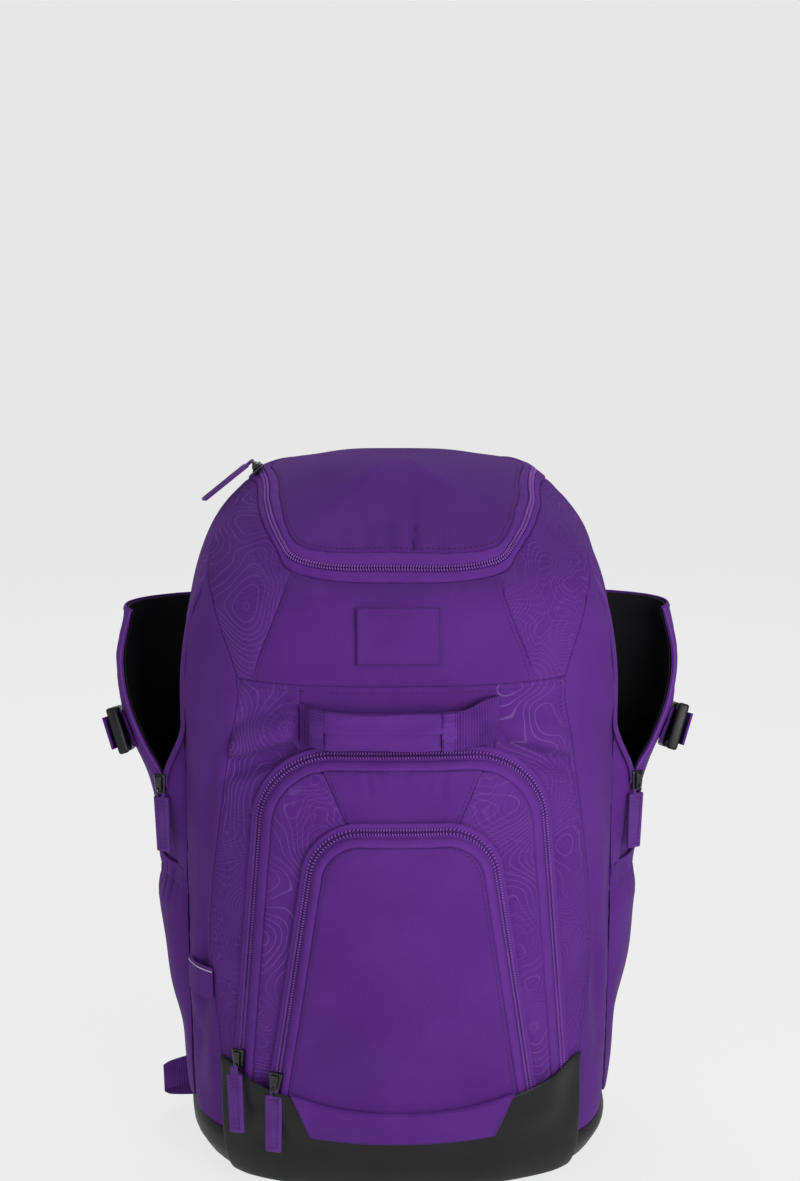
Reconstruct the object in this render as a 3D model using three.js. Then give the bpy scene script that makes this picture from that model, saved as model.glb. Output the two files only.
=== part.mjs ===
// Upright sports equipment backpack with a domed zip lid, two arched front pockets and two side sleeves.
// Millimetres, +Z up, the front faces -Y, the bag stands on its flat base.
import * as THREE from 'three';

// Driving dimensions
const WALL = 2.4;
const TAPE = 1.6;
const MID_Y = 5;
const DROP_POWER = 1.6;
const BACK_EDGE = 138;
const YOKE_EDGE = 32;
const BAND_WIDTH = 14.5;
const CHAIN_WIDTH = 4.4;
const CHAIN_THICK = 1.8;
const CHAIN_LINE = 9;
const WEBBING = 25;
const PULL = { length: 45, width: 13, thick: 3 };
const SLIDER = { length: 14, width: 10, thick: 5 };
const BUCKLE = { length: 56, width: 36, thick: 9 };

const PURPLE = 0x4f2877;
const PRINT = 0x4a2470;
const BLACK = 0x29292b;
const LINING = 0x0e0d10;

// Sections of the bag from the base rim to the crown.
// z is the height at the back, drop is how much lower the front is, half is half the width,
// nf and nb are the squareness of the front and back halves,
// gusset and side are the angles in degrees of the panel seams, from the front middle.
const BODY = [
  { name: 'rim', z: 31, drop: 0, half: 158, front: -123, back: 89, nf: 2.8, nb: 5, gusset: 46, side: 78 },
  { name: 'foot', z: 66, drop: 0, half: 160, front: -120, back: 90, nf: 2.7, nb: 5, gusset: 48, side: 78 },
  { name: 'low', z: 112, drop: 0, half: 161, front: -115, back: 91, nf: 2.6, nb: 5, gusset: 53, side: 78 },
  { name: 'belly', z: 190, drop: 0, half: 162, front: -112, back: 92, nf: 2.6, nb: 5, gusset: 57, side: 78 },
  { name: 'waist', z: 320, drop: 0, half: 163, front: -106, back: 92, nf: 2.6, nb: 5, gusset: 46, side: 78 },
  { name: 'chest', z: 392, drop: 9, half: 161.5, front: -103, back: 91, nf: 2.6, nb: 5, gusset: 42, side: 84 },
  { name: 'arm', z: 455, drop: 28, half: 150, front: -93, back: 89, nf: 2.6, nb: 4.5, gusset: 62, side: 84 },
  { name: 'upper', z: 489, drop: 45, half: 134, front: -82, back: 86, nf: 2.8, nb: 4.5, gusset: 82, side: 84 },
  { name: 'zip', z: 513, drop: 61, half: 110.5, front: -70, back: 82, nf: 2.8, nb: 5.2, gusset: 82, side: 84 },
  { name: 'lid', z: 520, drop: 49.5, half: 92.5, front: -55, back: 76, nf: 3.1, nb: 5.2, gusset: 82, side: 84 },
  { name: 'dome', z: 526, drop: 36, half: 62, front: -30, back: 67, nf: 3, nb: 4, gusset: 82, side: 84 },
  { name: 'crown', z: 529, drop: 14, half: 28, front: 0, back: 52, nf: 2.6, nb: 3, gusset: 82, side: 84 },
];

// Sections of the black base, from the flat underside up
const BASE = [
  { name: 'floor', z: 0, drop: 0, half: 133, front: -99, back: 72, nf: 3, nb: 4 },
  { name: 'heel', z: 5, drop: 0, half: 147, front: -114, back: 83, nf: 2.9, nb: 4.5 },
  { name: 'rise', z: 16, drop: 0, half: 156, front: -122, back: 88, nf: 2.8, nb: 5 },
  { name: 'rim', z: 30, drop: 0, half: 159, front: -125, back: 90, nf: 2.8, nb: 5 },
  { name: 'crest', z: 66, drop: 0, half: 160, front: -126, back: 91, nf: 2.8, nb: 5 },
];

// Arched pockets: half width at the foot, how fast it narrows, top height, corner radius,
// and how proud they stand
const ARCH = {
  outer: { foot: 67, half: 112, taper: 0.084, top: 326, radius: 42, proud: 13, footProud: 7, bulge: 3 },
  inner: { foot: 67, half: 86, taper: 0.153, top: 275, radius: 24, proud: 12, footProud: 4.5, bulge: 4 },
};

// Side sleeve by height: free front edge and the outermost point of the cloth
const SLEEVE = [
  { z: 62, edgeX: 162.5, edgeY: -13, out: 164 },
  { z: 120, edgeX: 163, edgeY: -13, out: 165.5 },
  { z: 190, edgeX: 164, edgeY: -14, out: 169 },
  { z: 236, edgeX: 167, edgeY: -20, out: 178 },
  { z: 288, edgeX: 175, edgeY: -22, out: 190 },
  { z: 318, edgeX: 191, edgeY: -16, out: 199 },
  { z: 348, edgeX: 203, edgeY: -8, out: 206 },
  { z: 380, edgeX: 207, edgeY: 0, out: 208 },
  { z: 413, edgeX: 200, edgeY: 14, out: 202 },
];

// Slack side pocket by height: outermost point of the cloth
const SIDE_POCKET = [
  { z: 33, out: 164 },
  { z: 75, out: 168 },
  { z: 115, out: 173 },
  { z: 150, out: 179 },
  { z: 190, out: 185 },
  { z: 234, out: 189 },
];

const ROW = Object.fromEntries(BODY.map((row, i) => [row.name, i]));
const FOOT = Object.fromEntries(BASE.map((row, i) => [row.name, i]));
const WALL_TOP = ROW.chest + 0.33;
const group = new THREE.Group();
group.name = 'backpack';

const lerp = (a, b, t) => a + (b - a) * t;
const clamp = (v, lo, hi) => Math.min(hi, Math.max(lo, v));
const smooth = (a, b, v) => {
  const t = clamp((v - a) / (b - a), 0, 1);
  return t * t * (3 - 2 * t);
};
const add = (a, b, k = 1) => [a[0] + b[0] * k, a[1] + b[1] * k, a[2] + b[2] * k];
const sub = (a, b) => add(a, b, -1);
const dot = (a, b) => a[0] * b[0] + a[1] * b[1] + a[2] * b[2];
const cross = (a, b) => [a[1] * b[2] - a[2] * b[1], a[2] * b[0] - a[0] * b[2], a[0] * b[1] - a[1] * b[0]];
const unit = (a) => {
  const n = Math.hypot(...a) || 1;
  return [a[0] / n, a[1] / n, a[2] / n];
};

// A smooth run through the rows of a table, at row number t
function rowAt(rows, t) {
  const last = rows.length - 1;
  const i = clamp(Math.floor(t), 0, last - 1);
  const u = t - i;
  const p0 = rows[Math.max(i - 1, 0)];
  const p1 = rows[i];
  const p2 = rows[i + 1];
  const p3 = rows[Math.min(i + 2, last)];
  const out = {};
  for (const key of Object.keys(p1)) {
    if (key === 'name') continue;
    const a = 2 * p1[key];
    const b = p2[key] - p0[key];
    const c = 2 * p0[key] - 5 * p1[key] + 4 * p2[key] - p3[key];
    const d = 3 * p1[key] - p0[key] - 3 * p2[key] + p3[key];
    out[key] = 0.5 * (a + b * u + c * u * u + d * u * u * u);
  }
  return out;
}

// The row number at which a table reaches height z
function rowOf(rows, z) {
  let lo = 0;
  let hi = rows.length - 1;
  for (let k = 0; k < 40; k++) {
    const mid = (lo + hi) / 2;
    if (rowAt(rows, mid).z < z) lo = mid;
    else hi = mid;
  }
  return lo;
}

// A point of the bag's skin, angle in degrees from the front middle, positive to the right
function skin(rows, angle, t) {
  const row = rowAt(rows, t);
  const a = (angle * Math.PI) / 180;
  const s = Math.sin(a);
  const c = Math.cos(a);
  const front = c > 0;
  const power = 2 / (front ? row.nf : row.nb);
  const depth = front ? MID_Y - row.front : row.back - MID_Y;
  const x = row.half * Math.sign(s) * Math.abs(s) ** power;
  const y = MID_Y - depth * Math.sign(c) * Math.abs(c) ** power;
  const fall = clamp((row.back - y) / (row.back - row.front), 0, 1) ** DROP_POWER;
  return [x, y, row.z - row.drop * fall];
}

// Depth of the bag's front skin at a point seen from the front
const FINE = 40;
const fineRows = Array.from({ length: ROW.zip * FINE + 1 }, (_, i) => rowAt(BODY, i / FINE));

function frontY(x, z) {
  let y = -100;
  for (let k = 0; k < 5; k++) {
    const height = (row) => {
      const fall = clamp((row.back - y) / (row.back - row.front), 0, 1) ** DROP_POWER;
      return row.z - row.drop * fall;
    };
    let lo = 0;
    let hi = fineRows.length - 1;
    while (hi - lo > 1) {
      const mid = (lo + hi) >> 1;
      if (height(fineRows[mid]) < z) lo = mid;
      else hi = mid;
    }
    const below = height(fineRows[lo]);
    const above = height(fineRows[hi]);
    const row = rowAt(BODY, (lo + clamp((z - below) / (above - below), 0, 1)) / FINE);
    const q = Math.max(0, 1 - (Math.abs(x) / row.half) ** row.nf);
    y = MID_Y - (MID_Y - row.front) * q ** (1 / row.nf);
  }
  return y;
}

// Outward direction of a surface at (u, v)
function normalAt(point, u, v, inside) {
  const e = 1e-3;
  const du = sub(point(Math.min(1, u + e), v), point(Math.max(0, u - e), v));
  const dv = sub(point(u, Math.min(1, v + e)), point(u, Math.max(0, v - e)));
  const n = unit(cross(du, dv));
  return dot(n, sub(point(u, v), inside)) < 0 ? [-n[0], -n[1], -n[2]] : n;
}

// A closed wall over a surface: low and high are its two faces, measured outward from the surface.
// ring joins the two ends of u, pole closes v = 1 with one point on the z axis direction given.
function sheet(point, nu, nv, low, high, inside, { ring = false, pole = null } = {}) {
  const columns = ring ? nu : nu + 1;
  const rows = pole ? nv : nv + 1;
  const positions = [];
  const index = [];
  const at = (side, i, j) => side * columns * rows + j * columns + (ring ? i % nu : i);
  for (const reach of [high, low]) {
    for (let j = 0; j < rows; j++) {
      for (let i = 0; i < columns; i++) {
        const u = i / nu;
        const v = j / nv;
        const n = normalAt(point, ring ? clamp(u, 0.002, 0.998) : u, v, inside);
        positions.push(...add(point(u, v), n, reach));
      }
    }
  }
  const mid = [0.5, pole ? 0.4 : 0.5];
  const du = sub(point(mid[0] + 0.01, mid[1]), point(mid[0], mid[1]));
  const dv = sub(point(mid[0], mid[1] + 0.01), point(mid[0], mid[1]));
  const turned = dot(cross(du, dv), sub(point(...mid), inside)) < 0;
  const face = (a, b, c) => index.push(...(turned ? [a, c, b] : [a, b, c]));
  const quad = (a, b, c, d) => {
    face(a, b, c);
    face(a, c, d);
  };
  for (let j = 0; j < rows - 1; j++) {
    for (let i = 0; i < nu; i++) {
      quad(at(0, i, j), at(0, i + 1, j), at(0, i + 1, j + 1), at(0, i, j + 1));
      quad(at(1, i, j), at(1, i, j + 1), at(1, i + 1, j + 1), at(1, i + 1, j));
    }
  }
  for (let i = 0; i < nu; i++) {
    quad(at(0, i, 0), at(1, i, 0), at(1, i + 1, 0), at(0, i + 1, 0));
    if (!pole) quad(at(0, i, rows - 1), at(0, i + 1, rows - 1), at(1, i + 1, rows - 1), at(1, i, rows - 1));
  }
  if (!ring) {
    for (let j = 0; j < rows - 1; j++) {
      quad(at(0, 0, j), at(0, 0, j + 1), at(1, 0, j + 1), at(1, 0, j));
      quad(at(0, nu, j), at(1, nu, j), at(1, nu, j + 1), at(0, nu, j + 1));
    }
  }
  if (pole) {
    const tip = point(0, 1);
    positions.push(...add(tip, pole, high), ...add(tip, pole, low));
    const top = 2 * columns * rows;
    for (let i = 0; i < nu; i++) {
      face(at(0, i, rows - 1), at(0, i + 1, rows - 1), top);
      face(at(1, i + 1, rows - 1), at(1, i, rows - 1), top + 1);
    }
  }
  return solid(positions, index);
}

function solid(positions, index) {
  const geometry = new THREE.BufferGeometry();
  geometry.setAttribute('position', new THREE.Float32BufferAttribute(positions, 3));
  geometry.setIndex(index);
  geometry.computeVertexNormals();
  return geometry;
}

function part(name, geometry, colour, roughness = 0.85) {
  const material = new THREE.MeshStandardMaterial({ color: colour, roughness });
  material.name = name;
  const mesh = new THREE.Mesh(geometry, material);
  mesh.name = name;
  group.add(mesh);
}

// A flat moulded piece: its outline is drawn in (across, along) and it is laid at a place on the bag
function moulded(outline, thick, place, along, out) {
  const shape = new THREE.Shape(outline.map(([a, b]) => new THREE.Vector2(a, b)));
  const geometry = new THREE.ExtrudeGeometry(shape, { depth: thick, bevelEnabled: false });
  const zAxis = new THREE.Vector3(...unit(out));
  const rough = new THREE.Vector3(...unit(along));
  const xAxis = new THREE.Vector3().crossVectors(rough, zAxis).normalize();
  const yAxis = new THREE.Vector3().crossVectors(zAxis, xAxis).normalize();
  const frame = new THREE.Matrix4().makeBasis(xAxis, yAxis, zAxis);
  frame.setPosition(...place);
  geometry.applyMatrix4(frame);
  return geometry;
}

// Panels between two seams of the bag's skin
const CORE = [0, 5, 230];
const TOP_CORE = [0, 5, 380];

function panel(from, to, low, high, nu, nv, core = CORE) {
  const point = (u, v) => {
    const t = lerp(low, high, v);
    const row = rowAt(BODY, t);
    const start = typeof from === 'string' ? row[from] + 0.36 : from;
    const end = typeof to === 'string' ? row[to] - 0.36 : to;
    return skin(BODY, lerp(start, end, u), t);
  };
  return (side) => sheet((u, v) => mirror(point(u, v), side), nu, nv, -WALL, 0, core);
}

function mirror(p, side) {
  return [p[0] * side, p[1], p[2]];
}

const SIDES = [
  { tag: 'l', side: -1 },
  { tag: 'r', side: 1 },
];

// Lid, its band and the coil round it
part('lid', sheet(
  (u, v) => (v >= 1 ? [0, 27, 528.5] : skin(BODY, 360 * u, lerp(ROW.lid + 0.04, ROW.crown + 0.5, v))),
  32, 4, -WALL, 0, TOP_CORE, { ring: true, pole: [0, 0, 1] },
), PURPLE);
part('lid_band', sheet(
  (u, v) => skin(BODY, 360 * u, lerp(ROW.zip + 0.03, ROW.lid, v)),
  32, 2, -WALL, 0, TOP_CORE, { ring: true },
), PURPLE);
part('lid_chain', sheet(
  (u, v) => skin(BODY, lerp(-152, 152, u), ROW.zip + 0.5 + lerp(-0.09, 0.09, v)),
  32, 1, 0.9, 0.9 + CHAIN_THICK, TOP_CORE,
), PURPLE, 0.5);

// The seam under a shoulder panel: it climbs beside the gusset, passes over its end
// and drops to the sleeve's wall
const SHOULDER = [
  { angle: YOKE_EDGE + 0.1, foot: ROW.chest },
  { angle: 41.5, foot: ROW.chest },
  { angle: 49.9, foot: ROW.chest + 0.5 },
  { angle: 61.4, foot: ROW.arm },
  { angle: 73, foot: ROW.arm },
  { angle: 84.6, foot: ROW.arm },
  { angle: 86, foot: WALL_TOP },
  { angle: 103, foot: WALL_TOP },
  { angle: 117, foot: WALL_TOP },
  { angle: 128, foot: WALL_TOP },
  { angle: BACK_EDGE - 0.36, foot: WALL_TOP },
];

function shoulderPoint(u, v) {
  const last = SHOULDER.length - 1;
  const i = Math.min(Math.floor(u * last), last - 1);
  const k = u * last - i;
  const angle = lerp(SHOULDER[i].angle, SHOULDER[i + 1].angle, k);
  const foot = lerp(SHOULDER[i].foot, SHOULDER[i + 1].foot, k);
  return skin(BODY, angle, lerp(foot + 0.014, ROW.zip - 0.01, v));
}

// Panels of the body
const YOKE = panel(-YOKE_EDGE + 0.1, YOKE_EDGE - 0.1, ROW.chest + 0.006, ROW.zip - 0.01, 8, 6, TOP_CORE);
const BACK = panel(BACK_EDGE + 0.16, 360 - BACK_EDGE - 0.16, ROW.rim, ROW.zip - 0.01, 4, 16);
part('yoke', YOKE(1), PURPLE);
part('centre_panel', panel(-17.9, 17.9, ROW.rim, ROW.chest - 0.006, 4, 10)(1), PURPLE);
part('back_panel', BACK(1), PURPLE);
for (const { tag, side } of SIDES) {
  part(`shoulder_${tag}`, sheet(
    (u, v) => mirror(shoulderPoint(u, v), side), SHOULDER.length - 1, 6, -WALL, 0, TOP_CORE,
  ), PRINT);
  part(`print_${tag}`, panel(18.1, 'gusset', ROW.rim, ROW.chest - 0.006, 5, 10)(side), PRINT);
  part(`gusset_${tag}`, panel('gusset', 'side', ROW.rim, ROW.arm - 0.006, 4, 12)(side), PURPLE);
  part(`side_wall_${tag}`, panel('side', BACK_EDGE - 0.36, ROW.rim, WALL_TOP - 0.01, 4, 10)(side), LINING);
}

// Black base: a cup with a flat underside, a front band over it and a tab on the band
part('base_cup', sheet(
  (u, v) => (v >= 1 ? [0, -5, 0] : skin(BASE, 360 * u, lerp(FOOT.rim, FOOT.floor, v / 0.75))),
  28, 4, -WALL, 0, [0, 0, 40], { ring: true, pole: [0, 0, -1] },
), BLACK);
part('base_front', sheet(
  (u, v) => skin(BASE, lerp(-47, 47, u), lerp(FOOT.heel + 0.3, FOOT.crest, v)),
  12, 4, 0.8, 2.8, [0, 0, 40],
), BLACK);

// Arched pockets
function archHalf(arch, z) {
  const side = arch.half - arch.taper * (z - arch.foot);
  const q = clamp((z - (arch.top - arch.radius)) / arch.radius, 0, 1);
  return side - arch.radius * (1 - Math.sqrt(1 - q * q));
}

// Height of an arch's face over what lies behind it
function archProud(arch, x, z) {
  const rise = smooth(arch.foot, arch.foot + 80, z);
  const half = Math.max(archHalf(arch, Math.min(z, arch.top - arch.radius)), 1);
  const middle = clamp(1 - (x / half) ** 2, 0, 1);
  return lerp(arch.footProud, arch.proud, rise) + arch.bulge * middle * rise;
}

function outerFaceY(x, z) {
  return frontY(x, z) - archProud(ARCH.outer, x, Math.min(z, ARCH.outer.top));
}

function innerFaceY(x, z) {
  return outerFaceY(x, z) - archProud(ARCH.inner, x, Math.min(z, ARCH.inner.top));
}

// A point of the arch's line, from the left foot over the top to the right foot, moved out by r.
// Two fifths of each half's steps go round its bend.
function archLine(arch, s, r) {
  const straight = arch.top - arch.radius - arch.foot;
  const bend = (arch.radius * Math.PI) / 2;
  const flat = archHalf(arch, arch.top);
  const total = straight + bend + flat;
  const place = (q) => {
    const d = q * total;
    if (d < straight) return [archHalf(arch, arch.foot + d), arch.foot + d];
    if (d < straight + bend) {
      const a = ((d - straight) / bend) * (Math.PI / 2);
      const z = arch.top - arch.radius + arch.radius * Math.sin(a);
      return [arch.half - arch.taper * (z - arch.foot) - arch.radius * (1 - Math.cos(a)), z];
    }
    return [flat - (d - straight - bend), arch.top];
  };
  const w = s < 0.5 ? 2 * s : 2 - 2 * s;
  const stops = [0, straight / total, (straight + bend) / total, 1];
  const share = [0, 5 / 15, 11 / 15, 1];
  const k = w < share[1] ? 0 : w < share[2] ? 1 : 2;
  const q = lerp(stops[k], stops[k + 1], (w - share[k]) / (share[k + 1] - share[k]));
  const a = place(Math.max(0, q - 0.004));
  const b = place(Math.min(1, q + 0.004));
  const p = place(q);
  const n = Math.hypot(b[0] - a[0], b[1] - a[1]);
  const x = p[0] + ((b[1] - a[1]) / n) * r;
  const z = Math.max(arch.foot, p[1] - ((b[0] - a[0]) / n) * r);
  return [s < 0.5 ? -x : x, z];
}

// The zip band slopes from the face down to what lies behind the pocket
function archBand(arch, behind, s, r) {
  const [x, z] = archLine(arch, s, r);
  const [faceX, faceZ] = archLine(arch, s, 0);
  const rise = archProud(arch, faceX, Math.min(faceZ, arch.top));
  const k = smooth(-0.25, 1.1, r / BAND_WIDTH);
  return [x, behind(x, z) - lerp(rise, TAPE + 0.8, k), z];
}

const FRONT_CORE = [0, 60, 190];
const outerBand = (s, r) => archBand(ARCH.outer, frontY, s, r);
const innerBand = (s, r) => archBand(ARCH.inner, outerFaceY, s, r);

// Heights through an arch, closer together round its corners
function archHeight(arch, v, low, high) {
  return lerp(low, high, Math.sin((v * Math.PI) / 2) * 0.45 + v * 0.55);
}

const FLAP = { low: 279, lowHalf: 37, highHalf: 57 };
const flapHalf = (z) => lerp(FLAP.lowHalf, FLAP.highHalf, (z - FLAP.low) / (ARCH.outer.top - FLAP.low));

part('pocket_top', sheet((u, v) => {
  const z = lerp(FLAP.low, ARCH.outer.top - 1.7, v);
  const x = lerp(-1, 1, u) * Math.min(flapHalf(z) - 0.3, archHalf(ARCH.outer, z) - 0.5);
  return [x, outerFaceY(x, z), z];
}, 6, 3, -TAPE, 0, FRONT_CORE), PURPLE);
for (const { tag, side } of SIDES) {
  part(`pocket_print_${tag}`, sheet((u, v) => {
    const z = archHeight(ARCH.outer, v, ARCH.outer.foot + 0.6, 315.5);
    const below = lerp(4, FLAP.lowHalf + 0.3, smooth(FLAP.low - 40, FLAP.low, z));
    const inner = z > FLAP.low ? flapHalf(z) + 0.3 : below;
    const x = side * lerp(inner, archHalf(ARCH.outer, z) - 1.5, u);
    return [x, outerFaceY(x, z), z];
  }, 4, 12, -TAPE, 0, FRONT_CORE), PRINT);
}
part('outer_tape', sheet(
  (u, v) => outerBand(u, lerp(0.3, BAND_WIDTH, v)), 30, 2, -TAPE, 0, FRONT_CORE,
), PURPLE);
part('outer_chain', sheet(
  (u, v) => outerBand(lerp(1 / 30, 1, u), CHAIN_LINE + lerp(-0.5, 0.5, v) * CHAIN_WIDTH),
  29, 1, 0.8, 0.8 + CHAIN_THICK, FRONT_CORE,
), PURPLE, 0.5);
part('inner_face', sheet((u, v) => {
  const z = archHeight(ARCH.inner, v, ARCH.inner.foot + 0.6, ARCH.inner.top - 1.6);
  const x = lerp(-1, 1, u) * (archHalf(ARCH.inner, z) - 1.3);
  return [x, innerFaceY(x, z), z];
}, 6, 11, -TAPE, 0, FRONT_CORE), PURPLE);
part('inner_tape', sheet(
  (u, v) => innerBand(u, lerp(0.3, BAND_WIDTH, v)), 30, 2, -TAPE, 0, FRONT_CORE,
), PURPLE);
part('inner_chain', sheet(
  (u, v) => innerBand(lerp(1 / 30, 1, u), CHAIN_LINE + lerp(-0.5, 0.5, v) * CHAIN_WIDTH),
  29, 1, 0.8, 0.8 + CHAIN_THICK, FRONT_CORE,
), PURPLE, 0.5);
part('tab', sheet((u, v) => {
  const angle = lerp(-1, 1, u) * lerp(17, 22.3, v);
  return skin(BASE, angle, lerp(3.4, 3.98, v));
}, 10, 3, 3.2, 5.0, [0, 0, 40]), PURPLE);

// Patch on the yoke
part('patch', sheet((u, v) => {
  const x = lerp(-32, 28, u);
  const z = lerp(398, 437, v);
  return [x, frontY(x, z), z];
}, 5, 4, 0.9, 2.1, TOP_CORE), PURPLE);

// Grab handle: webbing ends sewn into the side seams of the middle panel, padded grip between them
const HANDLE = { z: 356, half: 68, bow: 17, tall: 29 };
const GRIP = { from: -58, to: 42, tall: 27.5, thick: 9 };

function handleLine(x) {
  const q = clamp(1 - Math.abs(x / HANDLE.half) ** 2.6, 0, 1);
  return frontY(x, HANDLE.z) - 0.9 - HANDLE.bow * q;
}

function handleStrip(from, to, tall, low, high, count) {
  return sheet((u, v) => {
    const x = lerp(from, to, u);
    const z = HANDLE.z + lerp(-0.5, 0.5, v) * tall;
    const wall = frontY(x, z) - 0.8;
    return [x, Math.min(wall, handleLine(x) + (frontY(x, z) - frontY(x, HANDLE.z)) * 0.5), z];
  }, count, 2, low, high, FRONT_CORE);
}

part('handle_webbing', handleStrip(-HANDLE.half, HANDLE.half, HANDLE.tall, 0, 2.2, 16), PURPLE);
part('handle_grip', handleStrip(GRIP.from, GRIP.to, GRIP.tall, 2.7, GRIP.thick, 12), PURPLE);

// Side sleeves, side pockets and compression straps
const BACK_SEAM = { x: 153, y: 75 };

function sideCurve(edge, out, u) {
  const reach = (out - 0.21 * (edge[0] + BACK_SEAM.x) * 0.5 - 0.04 * BACK_SEAM.x) / 0.75;
  const a = edge;
  const b = [reach, edge[1] + 16];
  const c = [reach, BACK_SEAM.y - 14];
  const d = [BACK_SEAM.x, BACK_SEAM.y];
  const w = [(1 - u) ** 3, 3 * u * (1 - u) ** 2, 3 * u * u * (1 - u), u ** 3];
  return [0, 1].map((k) => w[0] * a[k] + w[1] * b[k] + w[2] * c[k] + w[3] * d[k]);
}

// Soft folds of the sleeve cloth
function sleeveFold(u, z) {
  const lift = smooth(230, 270, z) * (1 - smooth(360, 410, z));
  return 2.2 * lift * Math.sin(z / 17 + 5 * u) * Math.sin(Math.PI * u);
}

function sleevePoint(u, z) {
  const row = rowAt(SLEEVE, rowOf(SLEEVE, z));
  const [x, y] = sideCurve([row.edgeX, row.edgeY], row.out + sleeveFold(u, z), u);
  return [x, y, z];
}

function pocketPoint(u, z) {
  const row = rowAt(SIDE_POCKET, rowOf(SIDE_POCKET, z));
  const edge = [lerp(160, 162, smooth(60, 232, z)), -33];
  const loose = smooth(60, 120, z) * (1 - smooth(190, 225, z));
  const slack = 1.6 * loose * Math.sin(Math.PI * u) * Math.sin(z / 21 + 4 * u);
  const [x, y] = sideCurve(edge, row.out + slack, u);
  return [x + 2.6 * u, y + 4.5 * u, z];
}

const SLEEVE_TOP = 413;
const SLIDER_Z = 289;
const GORE = { low: 238, high: 338 };

// The body's side at the front edge of the sleeve
function goreRoot(z) {
  const p = skin(BODY, 76, rowOf(BODY, z));
  return [p[0] + 0.3, p[1], z];
}

function goreEdge(z) {
  const tip = sleevePoint(0, Math.min(z, SLIDER_Z));
  const k = 1 - smooth(SLIDER_Z, GORE.high, z) * 0.96;
  const root = goreRoot(z);
  return [lerp(root[0], tip[0], k), lerp(root[1], tip[1] - 3.2, k), z];
}

for (const { tag, side } of SIDES) {
  const core = [side * 120, 20, 240];
  const laid = (f) => (u, v) => mirror(f(u, v), side);
  part(`sleeve_${tag}`, sheet(
    laid((u, v) => sleevePoint(u, lerp(SLEEVE[0].z, SLEEVE_TOP, v))),
    8, 13, -TAPE, 0, core,
  ), PURPLE);
  part(`lining_${tag}`, sheet(
    laid((u, v) => sleevePoint(lerp(0.125, 0.875, u), lerp(224, SLEEVE_TOP, v))),
    6, 7, -TAPE - 1.8, -TAPE - 0.6, core,
  ), LINING);
  part(`gore_${tag}`, sheet(
    laid((u, v) => {
      const z = lerp(GORE.low, GORE.high, v);
      const root = goreRoot(z);
      const edge = goreEdge(z);
      return [lerp(root[0], edge[0], u), lerp(root[1], edge[1], u), z];
    }),
    2, 8, 0.4, 0.4 + TAPE, [side * 150, 40, 240],
  ), PURPLE);
  part(`sleeve_zip_${tag}`, sheet(
    laid((u, v) => {
      const z = lerp(SLIDER_Z + 8, SLEEVE_TOP - 1, u);
      return sleevePoint(lerp(0.0, 0.07, v), z);
    }),
    12, 1, 0.6, 0.6 + CHAIN_THICK, core,
  ), PURPLE, 0.5);
  part(`side_pocket_${tag}`, sheet(
    laid((u, v) => pocketPoint(u, lerp(33, lerp(222, 236, u), v))),
    8, 10, -TAPE, 0, core,
  ), PURPLE);
  part(`strap_${tag}`, sheet(
    laid((u, v) => {
      const along = lerp(0.14, 0.97, u);
      const z = lerp(328, 310, along) + lerp(-0.5, 0.5, v) * WEBBING;
      return sleevePoint(along, z);
    }),
    14, 1, 1.2, 3.0, core,
  ), PURPLE);
  const hold = mirror(sleevePoint(0.34, 322), side);
  const ahead = mirror(sleevePoint(0.3, 323), side);
  const out = normalAt(laid((u, v) => sleevePoint(u, lerp(306, 336, v))), 0.34, 0.53, core);
  const b = BUCKLE;
  const outline = [
    [-0.5, -0.5], [0.5, -0.5], [0.5, 0.08], [0.4, 0.2], [0.4, 0.38], [0.5, 0.42], [0.5, 0.5],
    [-0.5, 0.5], [-0.5, 0.42], [-0.4, 0.38], [-0.4, 0.2], [-0.5, 0.08],
  ];
  part(`buckle_${tag}`, moulded(
    outline.map(([x, y]) => [x * b.width, y * b.length]), b.thick, add(hold, out, 3.5), sub(ahead, hold), out,
  ), BLACK, 0.4);
}

// Label on the left gusset and webbing loop at the lower left corner
part('label', sheet(
  (u, v) => skin(BODY, lerp(-74.5, -60, u), rowOf(BODY, lerp(126, 154, v))),
  4, 2, 0.8, 1.6, CORE,
), PURPLE);
part('loop', sheet((u, v) => {
  const a = lerp(-0.5, 0.5, u);
  const x = -167.6 - 11 * Math.cos(a * Math.PI);
  return [x, 26 + a * 34 + lerp(-7, 7, v), lerp(48, 18, v) + 5 * a];
}, 10, 2, -1.0, 1.0, [-150, 26, 33]), PURPLE);

// Sliders and pulls on the five zips
const rounded = (w, l) => [
  [-0.5 * w + 2, 0], [0.5 * w - 2, 0], [0.5 * w, 3], [0.5 * w, l - 3],
  [0.5 * w - 3, l], [-0.5 * w + 3, l], [-0.5 * w, l - 3], [-0.5 * w, 3],
];

function zipEnd(name, place, down, out, pullDown, pullOut, lift) {
  const s = SLIDER;
  const start = add(add(place, down, -0.5 * s.length), out, lift);
  part(`${name}_slider`, moulded(rounded(s.width, s.length), s.thick, start, down, out), BLACK, 0.35);
  const hang = add(add(place, down, 0.5 * s.length + 1), out, lift + 1);
  const outline = rounded(PULL.width, PULL.length);
  part(`${name}_pull`, moulded(outline, PULL.thick, hang, pullDown, pullOut), PURPLE, 0.6);
}

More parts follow.
